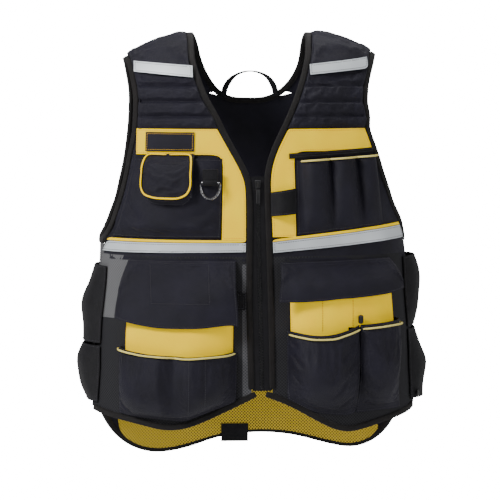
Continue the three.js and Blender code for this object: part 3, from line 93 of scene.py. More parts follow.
def math_node(tree, operation, first, second=None):
    made = add_node(tree, "ShaderNodeMath", operation=operation)
    for socket, value in zip(made.inputs, (first, second)):
        if value is None:
            continue
        if isinstance(value, (int, float)):
            socket.default_value = value
        else:
            tree.links.new(value, socket)
    return made.outputs[0]


def new_group(name, inputs, outputs):
    tree = bpy.data.node_groups.new(name, "ShaderNodeTree")
    for label, value in inputs.items():
        socket = tree.interface.new_socket(label, in_out="INPUT", socket_type="NodeSocketFloat")
        socket.default_value = value
    for label in outputs:
        tree.interface.new_socket(label, in_out="OUTPUT", socket_type="NodeSocketFloat")
    return tree, tree.nodes.new("NodeGroupInput"), tree.nodes.new("NodeGroupOutput")


def axes_of(tree, kind, output):
    """The axes of a piece's UV map or of its own space."""
    apart = tree.nodes.new("ShaderNodeSeparateXYZ")
    tree.links.new(tree.nodes.new(kind).outputs[output], apart.inputs[0])
    return apart.outputs


def worn_shade(tree, scale, detail):
    """A soft noise over the cloth's own space."""
    soft = add_node(tree, "ShaderNodeTexNoise")
    soft.inputs["Scale"].default_value = scale
    soft.inputs["Detail"].default_value = detail
    place = tree.nodes.new("ShaderNodeTexCoord")
    tree.links.new(place.outputs["Object"], soft.inputs["Vector"])
    return soft.outputs["Fac"]


# %% [markdown]
# ### Weave
#
# Woven cloth is threads crossing at right angles. Two sine waves across each other make the little pillows
# of a plain weave, and a soft noise over the cloth's own space shades it as worn cloth is shaded.


# %%
WEAVE_PITCH = 0.9 * MM
WEAVE_SHADE_SCALE = 22
WEAVE_SHADE_DETAIL = 5


def weave_group():
    tree, given, result = new_group("weave", {"Pitch": WEAVE_PITCH}, ["Height", "Shade"])
    axes = axes_of(tree, "ShaderNodeUVMap", "UV")
    turns = math_node(tree, "DIVIDE", 2 * math.pi, given.outputs["Pitch"])
    across = math_node(tree, "SINE", math_node(tree, "MULTIPLY", axes["X"], turns))
    along = math_node(tree, "SINE", math_node(tree, "MULTIPLY", axes["Y"], turns))
    tree.links.new(math_node(tree, "MULTIPLY", across, along), result.inputs["Height"])
    tree.links.new(worn_shade(tree, WEAVE_SHADE_SCALE, WEAVE_SHADE_DETAIL), result.inputs["Shade"])
    return tree


# %% [markdown]
# ### Net
#
# Mesh cloth is knitted with open holes. A Voronoi pattern without randomness, turned by 45 degrees, gives
# round holes in diamond order; the mask is 0 in a hole, so that what lies behind shows through.


# %%
NET_TURN = math.radians(45)


def net_group():
    tree, given, result = new_group("net", {"Pitch": 3 * MM, "Hole": 0.3}, ["Mask", "Height"])
    uv = tree.nodes.new("ShaderNodeUVMap")
    turned = add_node(tree, "ShaderNodeVectorRotate", rotation_type="Z_AXIS")
    turned.inputs["Angle"].default_value = NET_TURN
    tree.links.new(uv.outputs["UV"], turned.inputs["Vector"])
    cells = add_node(tree, "ShaderNodeTexVoronoi", voronoi_dimensions="2D")
    cells.inputs["Randomness"].default_value = 0
    tree.links.new(turned.outputs[0], cells.inputs["Vector"])
    tree.links.new(math_node(tree, "DIVIDE", 1, given.outputs["Pitch"]), cells.inputs["Scale"])
    mask = math_node(tree, "GREATER_THAN", cells.outputs["Distance"], given.outputs["Hole"])
    tree.links.new(mask, result.inputs["Mask"])
    tree.links.new(cells.outputs["Distance"], result.inputs["Height"])
    return tree


# %% [markdown]
# ### Ribs
#
# Webbing and binding tape are woven with ribs across their length. One sine wave up the body is enough,
# leaning a little to one side, and broken up by noise so that the ribs don't look printed.


# %%
RIB_LEAN = 0.35
RIB_SHADE_SCALE = 60
RIB_SHADE_DETAIL = 2


def rib_group():
    tree, given, result = new_group("ribs", {"Pitch": 1.6 * MM}, ["Height", "Shade"])
    axes = axes_of(tree, "ShaderNodeTexCoord", "Object")
    turns = math_node(tree, "DIVIDE", 2 * math.pi, given.outputs["Pitch"])
    slant = math_node(tree, "ADD", axes["Z"], math_node(tree, "MULTIPLY", axes["X"], RIB_LEAN))
    wave = math_node(tree, "SINE", math_node(tree, "MULTIPLY", slant, turns))
    tree.links.new(wave, result.inputs["Height"])
    tree.links.new(worn_shade(tree, RIB_SHADE_SCALE, RIB_SHADE_DETAIL), result.inputs["Shade"])
    return tree


# %% [markdown]
# ### Zone
#
# Some pieces change colour where another layer lies under or over them, and one gets a painted shade in a
# gap. A zone is a box in the piece's own space, across and up, in metres. Its mask is 1 inside and 0
# outside.


# %%
def zone_group():
    bounds = {"Left": -1.0, "Right": 1.0, "Low": -1.0, "High": 1.0}
    tree, given, result = new_group("zone", bounds, ["Mask"])
    axes = axes_of(tree, "ShaderNodeTexCoord", "Object")
    sides = [
        ("X", "GREATER_THAN", "Left"), ("X", "LESS_THAN", "Right"),
        ("Z", "GREATER_THAN", "Low"), ("Z", "LESS_THAN", "High"),
    ]
    mask = 1
    for axis, test, bound in sides:
        inside = math_node(tree, test, axes[axis], given.outputs[bound])
        mask = math_node(tree, "MULTIPLY", mask, inside)
    tree.links.new(mask, result.inputs["Mask"])
    return tree


WEAVE = weave_group()
NET = net_group()
RIBS = rib_group()
ZONE = zone_group()
print("effects:", len(bpy.data.node_groups))


# %% [markdown]
# ### How a cloth is mixed
#
# A material mixes a dark and a light tone of its dye by the group's shade, and bumps by the group's
# height. In a zone it mixes two other tones instead; one zone holds a painted shade. Sheen stands for the
# loose fibres that catch light at grazing angles. Safety yellow is a fluorescent dye, and the yellows get a
# painted glow outside their zones: an emission in their light tone that brightens them the same under any
# light.


# %%
def mix_tones(tree, first, second, factor):
    """A mix of two tones, each given as a colour or as the socket that holds one."""
    mixed = add_node(tree, "ShaderNodeMix", data_type="RGBA")
    for label, tone in (("A", first), ("B", second)):
        if isinstance(tone, tuple):
            mixed.inputs[label].default_value = linear(*tone)
        else:
            tree.links.new(tone, mixed.inputs[label])
    tree.links.new(factor, mixed.inputs["Factor"])
    return mixed.outputs["Result"]


def cloth_material(
    name, dark, light, group, values, roughness, bump,
    sheen=0.0, metallic=0.0, painted_glow=0.0, shine=0.2, zones=()
):
    material = bpy.data.materials.new(name)
    material.use_nodes = True
    tree = material.node_tree
    shader = tree.nodes["Principled BSDF"]
    shader.inputs["Roughness"].default_value = roughness
    shader.inputs["Metallic"].default_value = metallic
    shader.inputs["Sheen Weight"].default_value = sheen
    shader.inputs["Specular IOR Level"].default_value = shine
    # The emission is a painted glow in the light tone; only the yellows use it.
    shader.inputs["Emission Color"].default_value = linear(*light)
    shader.inputs["Emission Strength"].default_value = painted_glow
    effect = add_node(tree, "ShaderNodeGroup", node_tree=group)
    for label, value in values.items():
        effect.inputs[label].default_value = value
    shade = effect.outputs["Shade"] if "Shade" in effect.outputs else effect.outputs["Height"]
    colour = mix_tones(tree, dark, light, shade)
    strength = painted_glow
    for bounds, tints in zones:
        zone = add_node(tree, "ShaderNodeGroup", node_tree=ZONE)
        for label, value in bounds.items():
            zone.inputs[label].default_value = value
        mask = zone.outputs["Mask"]
        colour = mix_tones(tree, colour, mix_tones(tree, *tints, shade), mask)
        if painted_glow:
            strength = math_node(tree, "MULTIPLY", math_node(tree, "SUBTRACT", 1, mask), strength)
            tree.links.new(strength, shader.inputs["Emission Strength"])
    tree.links.new(colour, shader.inputs["Base Color"])
    relief = add_node(tree, "ShaderNodeBump")
    relief.inputs["Strength"].default_value = bump
    relief.inputs["Distance"].default_value = BUMP_DEPTH
    tree.links.new(effect.outputs["Height"], relief.inputs["Height"])
    tree.links.new(relief.outputs["Normal"], shader.inputs["Normal"])
    if "Mask" in effect.outputs:
        tree.links.new(effect.outputs["Mask"], shader.inputs["Alpha"])
    return material


# %% [markdown]
# ### The cloths themselves
#
# Each look is named after the material slot of the CAD pieces that wear it. The black mesh has grey net in
# two places, at the wearer's right and beside the zip. The yellow behind the two left pouches is painted
# near black in the gap between them, a painted shade, so that pocket lining is a material of its own.

# %%
MESH_PATCH = {"Left": -0.30, "Right": -0.186, "Low": -0.402, "High": -0.2}
ZIP_PATCH = {"Left": -0.026, "Right": 0.0, "Low": -0.52, "High": -0.32}
# Between the two left pouches the yellow lining is painted near black: a painted shade in the gap where
# they meet.
SHADE_BETWEEN_POUCHES = {"Left": 0.129, "Right": 0.160, "Low": -1.0, "High": -0.4125}
GREY_NET = ((58, 58, 60), (132, 132, 134))
DIM_NET = ((30, 30, 32), (112, 112, 116))
PAINTED_GAP_SHADE = ((8, 7, 10), (16, 15, 20))
YELLOW = ((255, 200, 0), (255, 220, 0))


# Yellow cloth gets a painted glow: an emission that brightens it the same under any light.
def yellow_cloth(name, zones=()):
    pitch = {"Pitch": WEAVE_PITCH}
    return cloth_material(name, *YELLOW, WEAVE, pitch, 0.95, 0.25, painted_glow=0.2, shine=0.0, zones=zones)


looks = {
    "black_cloth": cloth_material(
        "black cloth", (9, 8, 14), (30, 28, 43), WEAVE, {"Pitch": WEAVE_PITCH}, 0.55, 0.35, sheen=0.03
    ),
    "black_mesh": cloth_material(
        "black mesh", (5, 5, 7), (58, 58, 62), NET, {"Pitch": 3.2 * MM, "Hole": 0.0}, 0.8, 0.5,
        zones=[(MESH_PATCH, GREY_NET), (ZIP_PATCH, DIM_NET)]
    ),
    "grey_mesh": cloth_material(
        "grey mesh", (70, 70, 72), (120, 120, 122), NET, {"Pitch": 2.6 * MM, "Hole": 0.22}, 0.8, 0.5
    ),
    "yellow_cloth": yellow_cloth("yellow cloth"),
    # The yellow mesh lies in shade inside the vest, and a painted glow brightens it.
    "yellow_mesh": cloth_material(
        "yellow mesh", (136, 108, 26), (246, 214, 74), NET, {"Pitch": 3.4 * MM, "Hole": 0.3}, 0.8, 0.5,
        painted_glow=0.12
    ),
    "cream_piping": cloth_material(
        "cream piping", (206, 188, 96), (236, 222, 132), RIBS, {"Pitch": 1.2 * MM}, 0.6, 0.2
    ),
    "silver_tape": cloth_material(
        "silver tape", (186, 192, 196), (224, 229, 233), WEAVE, {"Pitch": 2.4 * MM}, 0.42, 0.12,
        metallic=0.2, shine=0.5
    ),
    "black_webbing": cloth_material(
        "black webbing", (6, 6, 8), (22, 21, 26), RIBS, {"Pitch": 1.6 * MM}, 0.65, 0.5, sheen=0.04
    ),
    "dark_binding": cloth_material(
        "dark binding", (9, 8, 8), (30, 27, 27), RIBS, {"Pitch": 1.3 * MM}, 0.7, 0.5, sheen=0.05
    ),
}
# The left hip lining carries that painted shade between its pouches, with no painted glow there.
shaded_pouch_liner = yellow_cloth("yellow lining with painted shade", zones=[(SHADE_BETWEEN_POUCHES, PAINTED_GAP_SHADE)])


def plain_material(name, colour, roughness, metallic=0.0):
    material = bpy.data.materials.new(name)
    material.use_nodes = True
    shader = material.node_tree.nodes["Principled BSDF"]
    shader.inputs["Base Color"].default_value = linear(*colour)
    shader.inputs["Roughness"].default_value = roughness
    shader.inputs["Metallic"].default_value = metallic
    return material


looks["steel"] = plain_material("steel", (205, 205, 208), 0.25, metallic=1.0)
looks["black_plastic"] = plain_material("black plastic", (18, 18, 20), 0.38)
thread_black = plain_material("black thread", (44, 43, 50), 0.6)
thread_yellow = plain_material("yellow thread", (226, 176, 6), 0.6)
print("materials:", len(bpy.data.materials))

# %% [markdown]
# ## How the cloth hangs
#
# Worn cloth is never smooth: it swells and sinks between its seams. All layers of the vest must swell
# together, or a pocket would sink into the panel it is sewn on. So the folds are one field in space that
# moves every piece outwards or inwards by the same amount at the same place. It dies away round the steel
# ring, which stays where the CAD has it, and towards the shoulders, where the pads hold the cloth still.

# %%
HALF_WIDTH = 0.236
HALF_DEPTH = 0.122
ROUNDNESS = 2.4
BROAD_FOLD = 3.2 * MM
FINE_FOLD = 1.4 * MM
BROAD_LENGTH = 0.075
BROAD_RISE = 0.7
FINE_LENGTH = 0.026
FINE_RISE = 0.6
FINE_LEAN = (0.3, 0.4)
FOLDS_BELOW = (0.05, 0.17)
CALM_RADIUS = (0.022, 0.050)
ring_low, ring_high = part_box("d_ring")
ring_middle = (np.array(ring_low) + np.array(ring_high)) / 2


def smooth_step(value, start, end):
    share = np.clip((value - start) / (end - start), 0, 1)
    return share * share * (3 - 2 * share)


def outward(points):
    """The horizontal way off the body at each point."""
    power = ROUNDNESS - 1
    x = np.sign(points[:, 0]) * np.abs(points[:, 0] / HALF_WIDTH) ** power / HALF_WIDTH
    y = np.sign(points[:, 1]) * np.abs(points[:, 1] / HALF_DEPTH) ** power / HALF_DEPTH
    way = np.stack([x, y, np.zeros(len(points))], axis=1)
    return way / np.maximum(np.linalg.norm(way, axis=1, keepdims=True), 1e-9)


def fold_height(points):
    height = np.empty(len(points))
    for index, (x, y, z) in enumerate(points):
        broad = noise.noise(Vector((x, y, BROAD_RISE * z)) / BROAD_LENGTH)
        leaning = Vector((x + FINE_LEAN[0] * z, y, FINE_RISE * z - FINE_LEAN[1] * x))
        fine = noise.noise(leaning / FINE_LENGTH)
        height[index] = BROAD_FOLD * broad + FINE_FOLD * fine
    from_ring = np.linalg.norm(points - ring_middle, axis=1)
    return height * (smooth_step(from_ring, *CALM_RADIUS) * smooth_step(-points[:, 2], *FOLDS_BELOW))


def fold(points):
    return points + outward(points) * fold_height(points)[:, None]


print("middle of the ring:", ring_middle.round(4).tolist())

# %% [markdown]
# ## From a CAD slab to a sheet of cloth
#
# In the CAD a cloth is a closed slab of coarse facets. Its outer face is all that is needed here: the
# triangles are joined to quads, and the thin rim is taken away, which cuts the slab into an outer and an
# inner face. The one that looks outwards is kept. Where a rim face was missed and both sides still hang
# together, the faces that look inwards are taken away as well.

# %%
WELD = 0.01 * MM
RIM_MOST = 1.95 * MM
RIM_TURN = 0.6
BOTH_SIDES = 0.6


def opened(obj):
    """A copy of a piece's mesh to change or to search."""
    mesh = bmesh.new()
    mesh.from_mesh(obj.data)
    return mesh


def quads_of(node):
    """The CAD node's mesh with its triangles joined along their diagonals."""
    mesh = opened(nodes[node])
    bmesh.ops.remove_doubles(mesh, verts=mesh.verts, dist=WELD)
    diagonals = []
    for edge in mesh.edges:
        faces = edge.link_faces
        longest = [max(face.edges, key=lambda side: side.calc_length()) is edge for face in faces]
        if len(longest) == 2 and all(longest) and all(len(face.verts) == 3 for face in faces):
            diagonals.append(edge)
    bmesh.ops.dissolve_edges(mesh, edges=diagonals, use_verts=False)
    return mesh


def islands_of(mesh):
    left = dict.fromkeys(mesh.faces)
    islands = []
    while left:
        island = [left.popitem()[0]]
        for face in island:
            for edge in face.edges:
                for other in edge.link_faces:
                    if other in left:
                        del left[other]
                        island.append(other)
        islands.append(island)
    return islands


def outward_area(faces):
    middles = np.array([face.calc_center_median() for face in faces])
    normals = np.array([face.normal for face in faces])
    areas = np.array([face.calc_area() for face in faces])
    return float((areas * (normals * outward(middles)).sum(axis=1)).sum())


def is_rim(face):
    """A face of the thin edge all round a slab, or one half of it as a triangle."""
    short = sum(edge.calc_length() < RIM_MOST for edge in face.edges)
    way = outward(np.array([face.calc_center_median()]))[0]
    split = len(face.verts) == 3 and short >= 1 and abs(face.normal.dot(Vector(way))) < RIM_TURN
    return short >= 2 or split


def keep_outermost(mesh):
    islands = islands_of(mesh)
    best = max(islands, key=outward_area)
    others = [face for island in islands if island is not best for face in island]
    bmesh.ops.delete(mesh, geom=others, context="FACES")


def outer_face(node):
    mesh = quads_of(node)
    whole = sum(face.calc_area() for face in mesh.faces)
    bmesh.ops.delete(mesh, geom=[face for face in mesh.faces if is_rim(face)], context="FACES_ONLY")
    keep_outermost(mesh)
    if sum(face.calc_area() for face in mesh.faces) > BOTH_SIDES * whole:
        inner = [face for face in mesh.faces if outward_area([face]) < 0]
        bmesh.ops.delete(mesh, geom=inner, context="FACES_ONLY")
        keep_outermost(mesh)
    loose = [vert for vert in mesh.verts if not vert.link_faces]
    bmesh.ops.delete(mesh, geom=loose, context="VERTS")
    return mesh


# %% [markdown]
# The outer face becomes an object, and subdivision makes it smooth. Its border may be spread a little
# under what is sewn over it. After it has got its folds it is given its thickness again.


# %%
def new_object(name, mesh):
    if isinstance(mesh, bmesh.types.BMesh):
        data = bpy.data.meshes.new(name)
        mesh.to_mesh(data)
        mesh.free()
        mesh = data
    made = bpy.data.objects.new(name, mesh)
    bpy.context.collection.objects.link(made)
    return made


def bake(obj):
    """Applies every modifier of an object."""
    bpy.context.view_layer.update()
    evaluated = obj.evaluated_get(bpy.context.evaluated_depsgraph_get())
    data = bpy.data.meshes.new_from_object(evaluated)
    obj.modifiers.clear()
    obj.data = data
    return obj


def way_in(edge):
    """The way from a border edge into its sheet."""
    along = (edge.verts[1].co - edge.verts[0].co).normalized()
    way = edge.link_faces[0].calc_center_median() - edge.verts[0].co
    return (way - along * way.dot(along)).normalized()


def spread_border(mesh, distance):
    """Moves the border of a sheet outwards in its own surface, to tuck it under what is sewn over it."""
    ways = {}
    for edge in mesh.edges:
        if len(edge.link_faces) == 1:
            for vert in edge.verts:
                ways.setdefault(vert, []).append(-way_in(edge))
    for vert, found in ways.items():
        way = sum(found, Vector()) / len(found)
        vert.co += way / max(way.length_squared, 0.5) * distance


def subdivide(obj, levels):
    finer = obj.modifiers.new("finer", "SUBSURF")
    finer.levels = levels
    finer.boundary_smooth = "PRESERVE_CORNERS"
    return bake(obj)


def points_of(obj):
    flat = np.empty(len(obj.data.vertices) * 3)
    obj.data.vertices.foreach_get("co", flat)
    return flat.reshape(-1, 3)


def set_points(obj, points):
    obj.data.vertices.foreach_set("co", np.asarray(points, dtype=float).ravel())
    obj.data.update()


def thicken(obj, wall):
    thick = obj.modifiers.new("thick", "SOLIDIFY")
    thick.thickness = wall
    thick.offset = -1
    return bake(obj)


# %% [markdown]
# A UV map in metres: the first coordinate runs round the girth of the vest and the second runs up it. The
# girth is read off a rounded rectangle, the shape of the body seen from above.

# %%
girth_angles = np.linspace(-math.pi, math.pi, 721)


def rounded(angle):
    power = 2 / ROUNDNESS
    x = HALF_WIDTH * np.sign(np.cos(angle)) * np.abs(np.cos(angle)) ** power
    y = HALF_DEPTH * np.sign(np.sin(angle)) * np.abs(np.sin(angle)) ** power
    return np.stack([x, y], axis=-1)


def lengths_along(points):
    """How far along a line each of its points lies."""
    steps = np.linalg.norm(np.diff(points, axis=0), axis=1)
    return np.concatenate([[0], np.cumsum(steps)])


def read_at(marks, lengths, values):
    """What a line of values says at the given lengths."""
    return np.stack([np.interp(marks, lengths, column) for column in values.T], axis=-1)


girth_points = rounded(girth_angles)
girth_along = lengths_along(girth_points)
girth_seen = np.arctan2(girth_points[:, 1], girth_points[:, 0])
girth_seen[0] = -math.pi


def map_cloth(obj):
    points = points_of(obj)
    angle = np.arctan2(points[:, 1], points[:, 0])
    girth = np.interp(angle, girth_seen, girth_along)
    flat = np.stack([girth, points[:, 2]], axis=1)
    layer = obj.data.uv_layers.new(name="UVMap")
    loops = np.empty(len(obj.data.loops), dtype=int)
    obj.data.loops.foreach_get("vertex_index", loops)
    layer.data.foreach_set("uv", flat[loops].ravel())


print("girth in m:", round(float(girth_along[-1]), 3))

# %% [markdown]
# A finished piece is shaded smooth, gets its material and its map, rides on its body, and stands for the
# CAD pieces that it replaces. The steel ring is the only piece on a body of its own, so these all ride on
# the root.


# %%
def finish_piece(obj, look, replaced=(), sharp=50):
    """Smooth shading, material, map and body of a finished piece."""
    obj.data.materials.clear()
    obj.data.materials.append(looks[look] if isinstance(look, str) else look)
    map_cloth(obj)
    bpy.ops.object.select_all(action="DESELECT")
    obj.select_set(True)
    bpy.context.view_layer.objects.active = obj
    bpy.ops.object.shade_smooth_by_angle(angle=math.radians(sharp))
    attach(obj, "root")
    for node in replaced:
        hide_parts(node)
    return obj


# %% [markdown]
# ## Seams
#
# A row of stitches runs a few millimetres inside each edge of a pocket or panel. Each stitch is a short
# thread that dips into the cloth at both ends. The lines are kept while the sheets are made, and sewn at
# the end as one mesh for each colour of thread.

# %%
STITCH_INSET = 2.4 * MM
STITCH_PITCH = 3.6 * MM
STITCH_SHARE = 0.72
STITCH_RADIUS = 0.38 * MM
seams = {"black": [], "yellow": []}


def edge_loops(mesh):
    """The border of a sheet as loops of (point, way in)."""
    border = dict.fromkeys(edge for edge in mesh.edges if len(edge.link_faces) == 1)
    loops = []
    while border:
        edge = border.popitem()[0]
        start, here = edge.verts
        loop = [(start, edge), (here, edge)]
        while here is not start:
            following = [other for other in here.link_edges if other in border]
            if not following:
                break
            edge = following[0]
            del border[edge]
            here = edge.other_vert(here)
            loop.append((here, edge))
        loops.append([(vert.co, way_in(side)) for vert, side in loop])
    return loops


def keep_seam(obj, thread):
    mesh = opened(obj)
    mesh.normal_update()
    tree = BVHTree.FromBMesh(mesh)
    for line in edge_loops(mesh):
        spots = []
        for point, way in line:
            place, facing, _, _ = tree.find_nearest(point + way * STITCH_INSET)
            spots.append((place, facing))
        seams[thread].append(spots)
    mesh.free()


# %% [markdown]
# Some seams run inside a piece: a rectangle on the right hip flap, two rows between the pockets of the
# left liner, and two that hold the pleats of the right hip pouch. They are given as corners across and up,
# in metres, and are laid on the cloth from in front of the vest.

# %%
INNER_SEAMS = {
    "right_hip_flap": [
        [(-0.160, -0.318), (-0.076, -0.318), (-0.076, -0.376), (-0.160, -0.376), (-0.160, -0.318)],
    ],
    "left_hip_liner": [[(0.0905, -0.368), (0.0905, -0.420)], [(0.136, -0.362), (0.136, -0.415)]],
    "right_hip_pouch": [[(-0.107, -0.452), (-0.107, -0.548)], [(-0.083, -0.452), (-0.083, -0.548)]],
}
SEAM_STEP = 4 * MM


def keep_inner_seams(obj, node):
    mesh = opened(obj)
    tree = BVHTree.FromBMesh(mesh)
    for corners in INNER_SEAMS.get(node, []):
        spots = []
        for (x, z), (next_x, next_z) in zip(corners, corners[1:]):
            steps = max(2, round(math.hypot(next_x - x, next_z - z) / SEAM_STEP))
            for step in range(steps + 1):
                share = step / steps
                start = Vector((x + (next_x - x) * share, -1, z + (next_z - z) * share))
                place, facing, _, _ = tree.ray_cast(start, Vector((0, 1, 0)))
                if place:
                    spots.append((place, facing if facing.y < 0 else -facing))
        if len(spots) > 1:
            seams["black"].append(spots)
    mesh.free()


# %% [markdown]
# ## Loose cloth
#
# A pouch or a flap is cut a little larger than the place it is sewn to, and the spare cloth buckles into
# folds. Cloth simulation does just that: the sheet grows by a few percent while its sewn edges are held.
# The layers lie only millimetres apart, so no fold goes in further than the layer beneath leaves room
# for.

# %%
MOST_OUT = 7 * MM
MOST_IN = 2.5 * MM
MOST_SLIDE = 4 * MM
SEWN_TOP = 0.35
CLOTH_FRAMES = 14
CLOTH_GRAVITY = 0.3
CLOTH = {
    "quality": 7, "mass": 0.25, "tension_stiffness": 25, "compression_stiffness": 20, "shear_stiffness": 12,
    "bending_stiffness": 0.6, "tension_damping": 12, "compression_damping": 12, "shear_damping": 12,
}


def hold_group(obj, held):
    group = obj.vertex_groups.new(name="held")
    for index, weight in enumerate(held):
        if weight > 0:
            group.add([index], float(weight), "REPLACE")
    return group.name


def relax(obj, held, grow, pressure=0.0):
    """Cloth simulation of a sheet or a closed cover, held where the held weights are 1."""
    rest = points_of(obj)
    cloth = obj.modifiers.new("cloth", "CLOTH")
    values = cloth.settings
    for name, value in CLOTH.items():
        setattr(values, name, value)
    values.shrink_min = -grow
    values.vertex_group_mass = hold_group(obj, held)
    values.use_pressure = pressure > 0
    values.uniform_pressure_force = pressure
    values.effector_weights.gravity = CLOTH_GRAVITY
    cloth.collision_settings.use_collision = False
    cloth.point_cache.frame_start = 1
    cloth.point_cache.frame_end = CLOTH_FRAMES
    for number in range(1, CLOTH_FRAMES + 1):
        bpy.context.scene.frame_set(number)
    bake(obj)
    bpy.context.scene.frame_set(1)
    obj.vertex_groups.clear()
    moved = points_of(obj) - rest
    way = outward(rest)
    off = (moved * way).sum(axis=1)
    most = np.where(off > 0, MOST_OUT, MOST_IN)
    kept = most * np.tanh(off / most)
    slide = moved - off[:, None] * way
    far = np.linalg.norm(slide, axis=1, keepdims=True)
    slide *= MOST_SLIDE * np.tanh(far / MOST_SLIDE) / np.maximum(far, 1e-9)
    set_points(obj, rest + slide + kept[:, None] * way)


def border_distance(obj, top_only=False):
    """How far each vertex of a sheet lies from its sewn border, or from the upper part of it."""
    mesh = opened(obj)
    border = [vert for vert in mesh.verts if vert.is_boundary]
    if top_only:
        top = max(vert.co.z for vert in mesh.verts)
        low = min(vert.co.z for vert in mesh.verts)
        border = [vert for vert in border if vert.co.z > top - SEWN_TOP * (top - low)]
    tree = KDTree(len(border))
    for index, vert in enumerate(border):
        tree.insert(vert.co, index)
    tree.balance()
    away = np.array([tree.find(vert.co)[2] for vert in mesh.verts])
    mesh.free()
    return away


# %% [markdown]
# ## The sheets
#
# One row for each cloth piece: how thick it is, how finely it is divided, how it is held, what it is sewn
# on, the colour of its thread, and how much spare cloth it has. Body panels are listed as hung and pockets
# as stretched over what they are sewn to, and strips under 12 mm wide are trim and not sheets. The CAD
# keeps small gaps between pieces that are sewn together, so some borders are spread by a few millimetres to
# close those seams. A name with {} stands for a pair, right and left. The hip flaps are sewn on at their
# upper part only.

# %%
SHEETS = [
    # node, wall in mm, levels, held, rests on, thread, spare cloth
    ("back_panel", 1.3, 2, "hung", ["right_shoulder_pad", "left_shoulder_pad"], None, 0),
    ("back_lining", 0.8, 2, "hung", ["back_panel"], None, 0),
    ("{}_front_panel", 1.3, 2, "hung", ["{}_shoulder_pad"], None, 0),
    ("{}_front_mesh", 1.2, 2, "hung", ["{}_front_panel"], None, 0),
    ("{}_side_mesh", 1.2, 2, "hung", ["{}_front_mesh", "back_panel"], None, 0),
    ("{}_yellow_panel", 0.8, 2, "stretched", ["{}_front_panel"], "yellow", 0),
    ("label_patch", 0.8, 2, "stretched", ["right_yellow_panel"], "yellow", 0),
    ("{}_shoulder_reflector", 0.8, 2, "stretched", ["{}_shoulder_pad"], "black", 0),
    ("{}_waist_edging", 0.8, 2, "stretched", ["{}_front_panel"], None, 0),
    ("{}_waist_reflector", 0.8, 2, "stretched", ["{}_front_panel"], "black", 0),
    ("{}_zip_tape", 1.2, 2, "stretched", ["{}_front_panel"], None, 0),
    ("tool_binding", 0.9, 2, "stretched", ["left_yellow_panel"], "black", 0),
    ("webbing_loop", 1.5, 2, "stretched", ["left_yellow_panel"], "black", 0),
    ("chest_pouch", 1.2, 2, "stretched", ["right_front_panel"], "black", 0.02),
    ("flap_pocket", 1.2, 2, "stretched", ["chest_pouch"], "black", 0),
    ("chest_flap", 1.3, 3, "hung", ["chest_pouch"], "black", 0.02),
    ("tool_pocket", 1.2, 3, "stretched", ["left_front_panel"], "black", 0),
    ("{}_hip_liner", 1.2, 2, "stretched", ["{}_front_mesh"], "yellow", 0),
    ("right_hip_pouch", 1.3, 3, "stretched", ["right_front_mesh"], "black", 0.03),
    ("left_hip_pouch_front", 1.3, 3, "stretched", ["left_front_mesh"], "black", 0.03),
    ("left_hip_pouch_side", 1.3, 3, "stretched", ["left_front_mesh"], "black", 0.03),
    ("{}_hip_flap", 1.3, 3, "hung", ["{}_front_mesh"], "black", 0.02),
    ("right_upper_strap", 1.6, 3, "stretched", ["right_front_mesh", "back_panel"], "black", 0),
    ("right_lower_strap", 1.6, 3, "stretched", ["right_front_mesh", "back_panel"], "black", 0),
    ("left_upper_strap", 1.6, 3, "stretched", ["left_front_mesh", "back_panel"], "black", 0),
    ("left_lower_strap", 1.6, 3, "stretched", ["left_front_mesh", "back_panel"], "black", 0),
    ("hem_tab", 0.9, 2, "hung", ["back_lining"], "black", 0),
    ("zip_side_tab", 1.5, 2, "stretched", ["right_front_mesh"], "black", 0),
]
SPREADS_IN_MM = {
    "back_panel": 3, "back_lining": 3, "{}_front_panel": 3, "{}_front_mesh": 4.5, "{}_side_mesh": 1,
    "{}_yellow_panel": 1.5, "{}_zip_tape": 3, "left_hip_pouch_front": 2.5, "left_hip_pouch_side": 2.5,
}
HELD_WITHIN = 6 * MM
FLAPS = ("right_hip_flap", "left_hip_flap")


def make_sheet(node, wall, levels, thread, spare, spread):
    mesh = outer_face(node)
    spread_border(mesh, spread * MM)
    made = new_object(f"{node}_cloth", mesh)
    subdivide(made, levels)
    if spare:
        away = border_distance(made, top_only=node in FLAPS)
        relax(made, 1 - smooth_step(away, HELD_WITHIN, 2 * HELD_WITHIN), spare)
    set_points(made, fold(points_of(made)))
    if thread:
        keep_seam(made, thread)
    keep_inner_seams(made, node)
    points = points_of(made)
    thicken(made, wall * MM)
    finish_piece(made, shaded_pouch_liner if node == "left_hip_liner" else slots[node], [node])


for name, wall, levels, held, rests_on, thread, spare in SHEETS:
    for side in ("right", "left") if "{}" in name else ("",):
        spread = SPREADS_IN_MM.get(name, 0)
        make_sheet(name.format(side), wall, levels, thread, spare, spread)

# %% [markdown]
# ## Shoulder pads
#
# The pads are foam between two cloths, sewn down in grooves across the shoulder. The CAD pad has the
# grooves as straight dips, which stay sharp here, as the rim does. A closed cover under slight pressure,
# held at its grooves, its edges and its back, puffs up between them and puckers along the stitching, as
# quilted foam does. The grooves are drawn in a little further after that.
#
# The heights here are measured from the back of the pad, the side that lies on the wearer.

# %%
PAD_LEVELS = 3
PAD_GROOVE_LIFT = (5.6 * MM, 6.6 * MM)
PAD_EDGE_LIFT = (2.5 * MM, 4 * MM)
PAD_GROOVE_SINK = 1.6 * MM
PAD_CENTRE_LEVEL = -0.13
PAD_BACK_TURN = -0.3
PAD_PRESSURE = 4.5
PAD_SPARE = 0.04
RIM_ANGLE = 60
GROOVE_ANGLE = 12
PAD_CREASE = 0.85
BINDING_REACH = (5 * MM, 14 * MM)
BINDING_PULL = 6 * MM
BINDING_BEHIND = (0.0, 0.02)


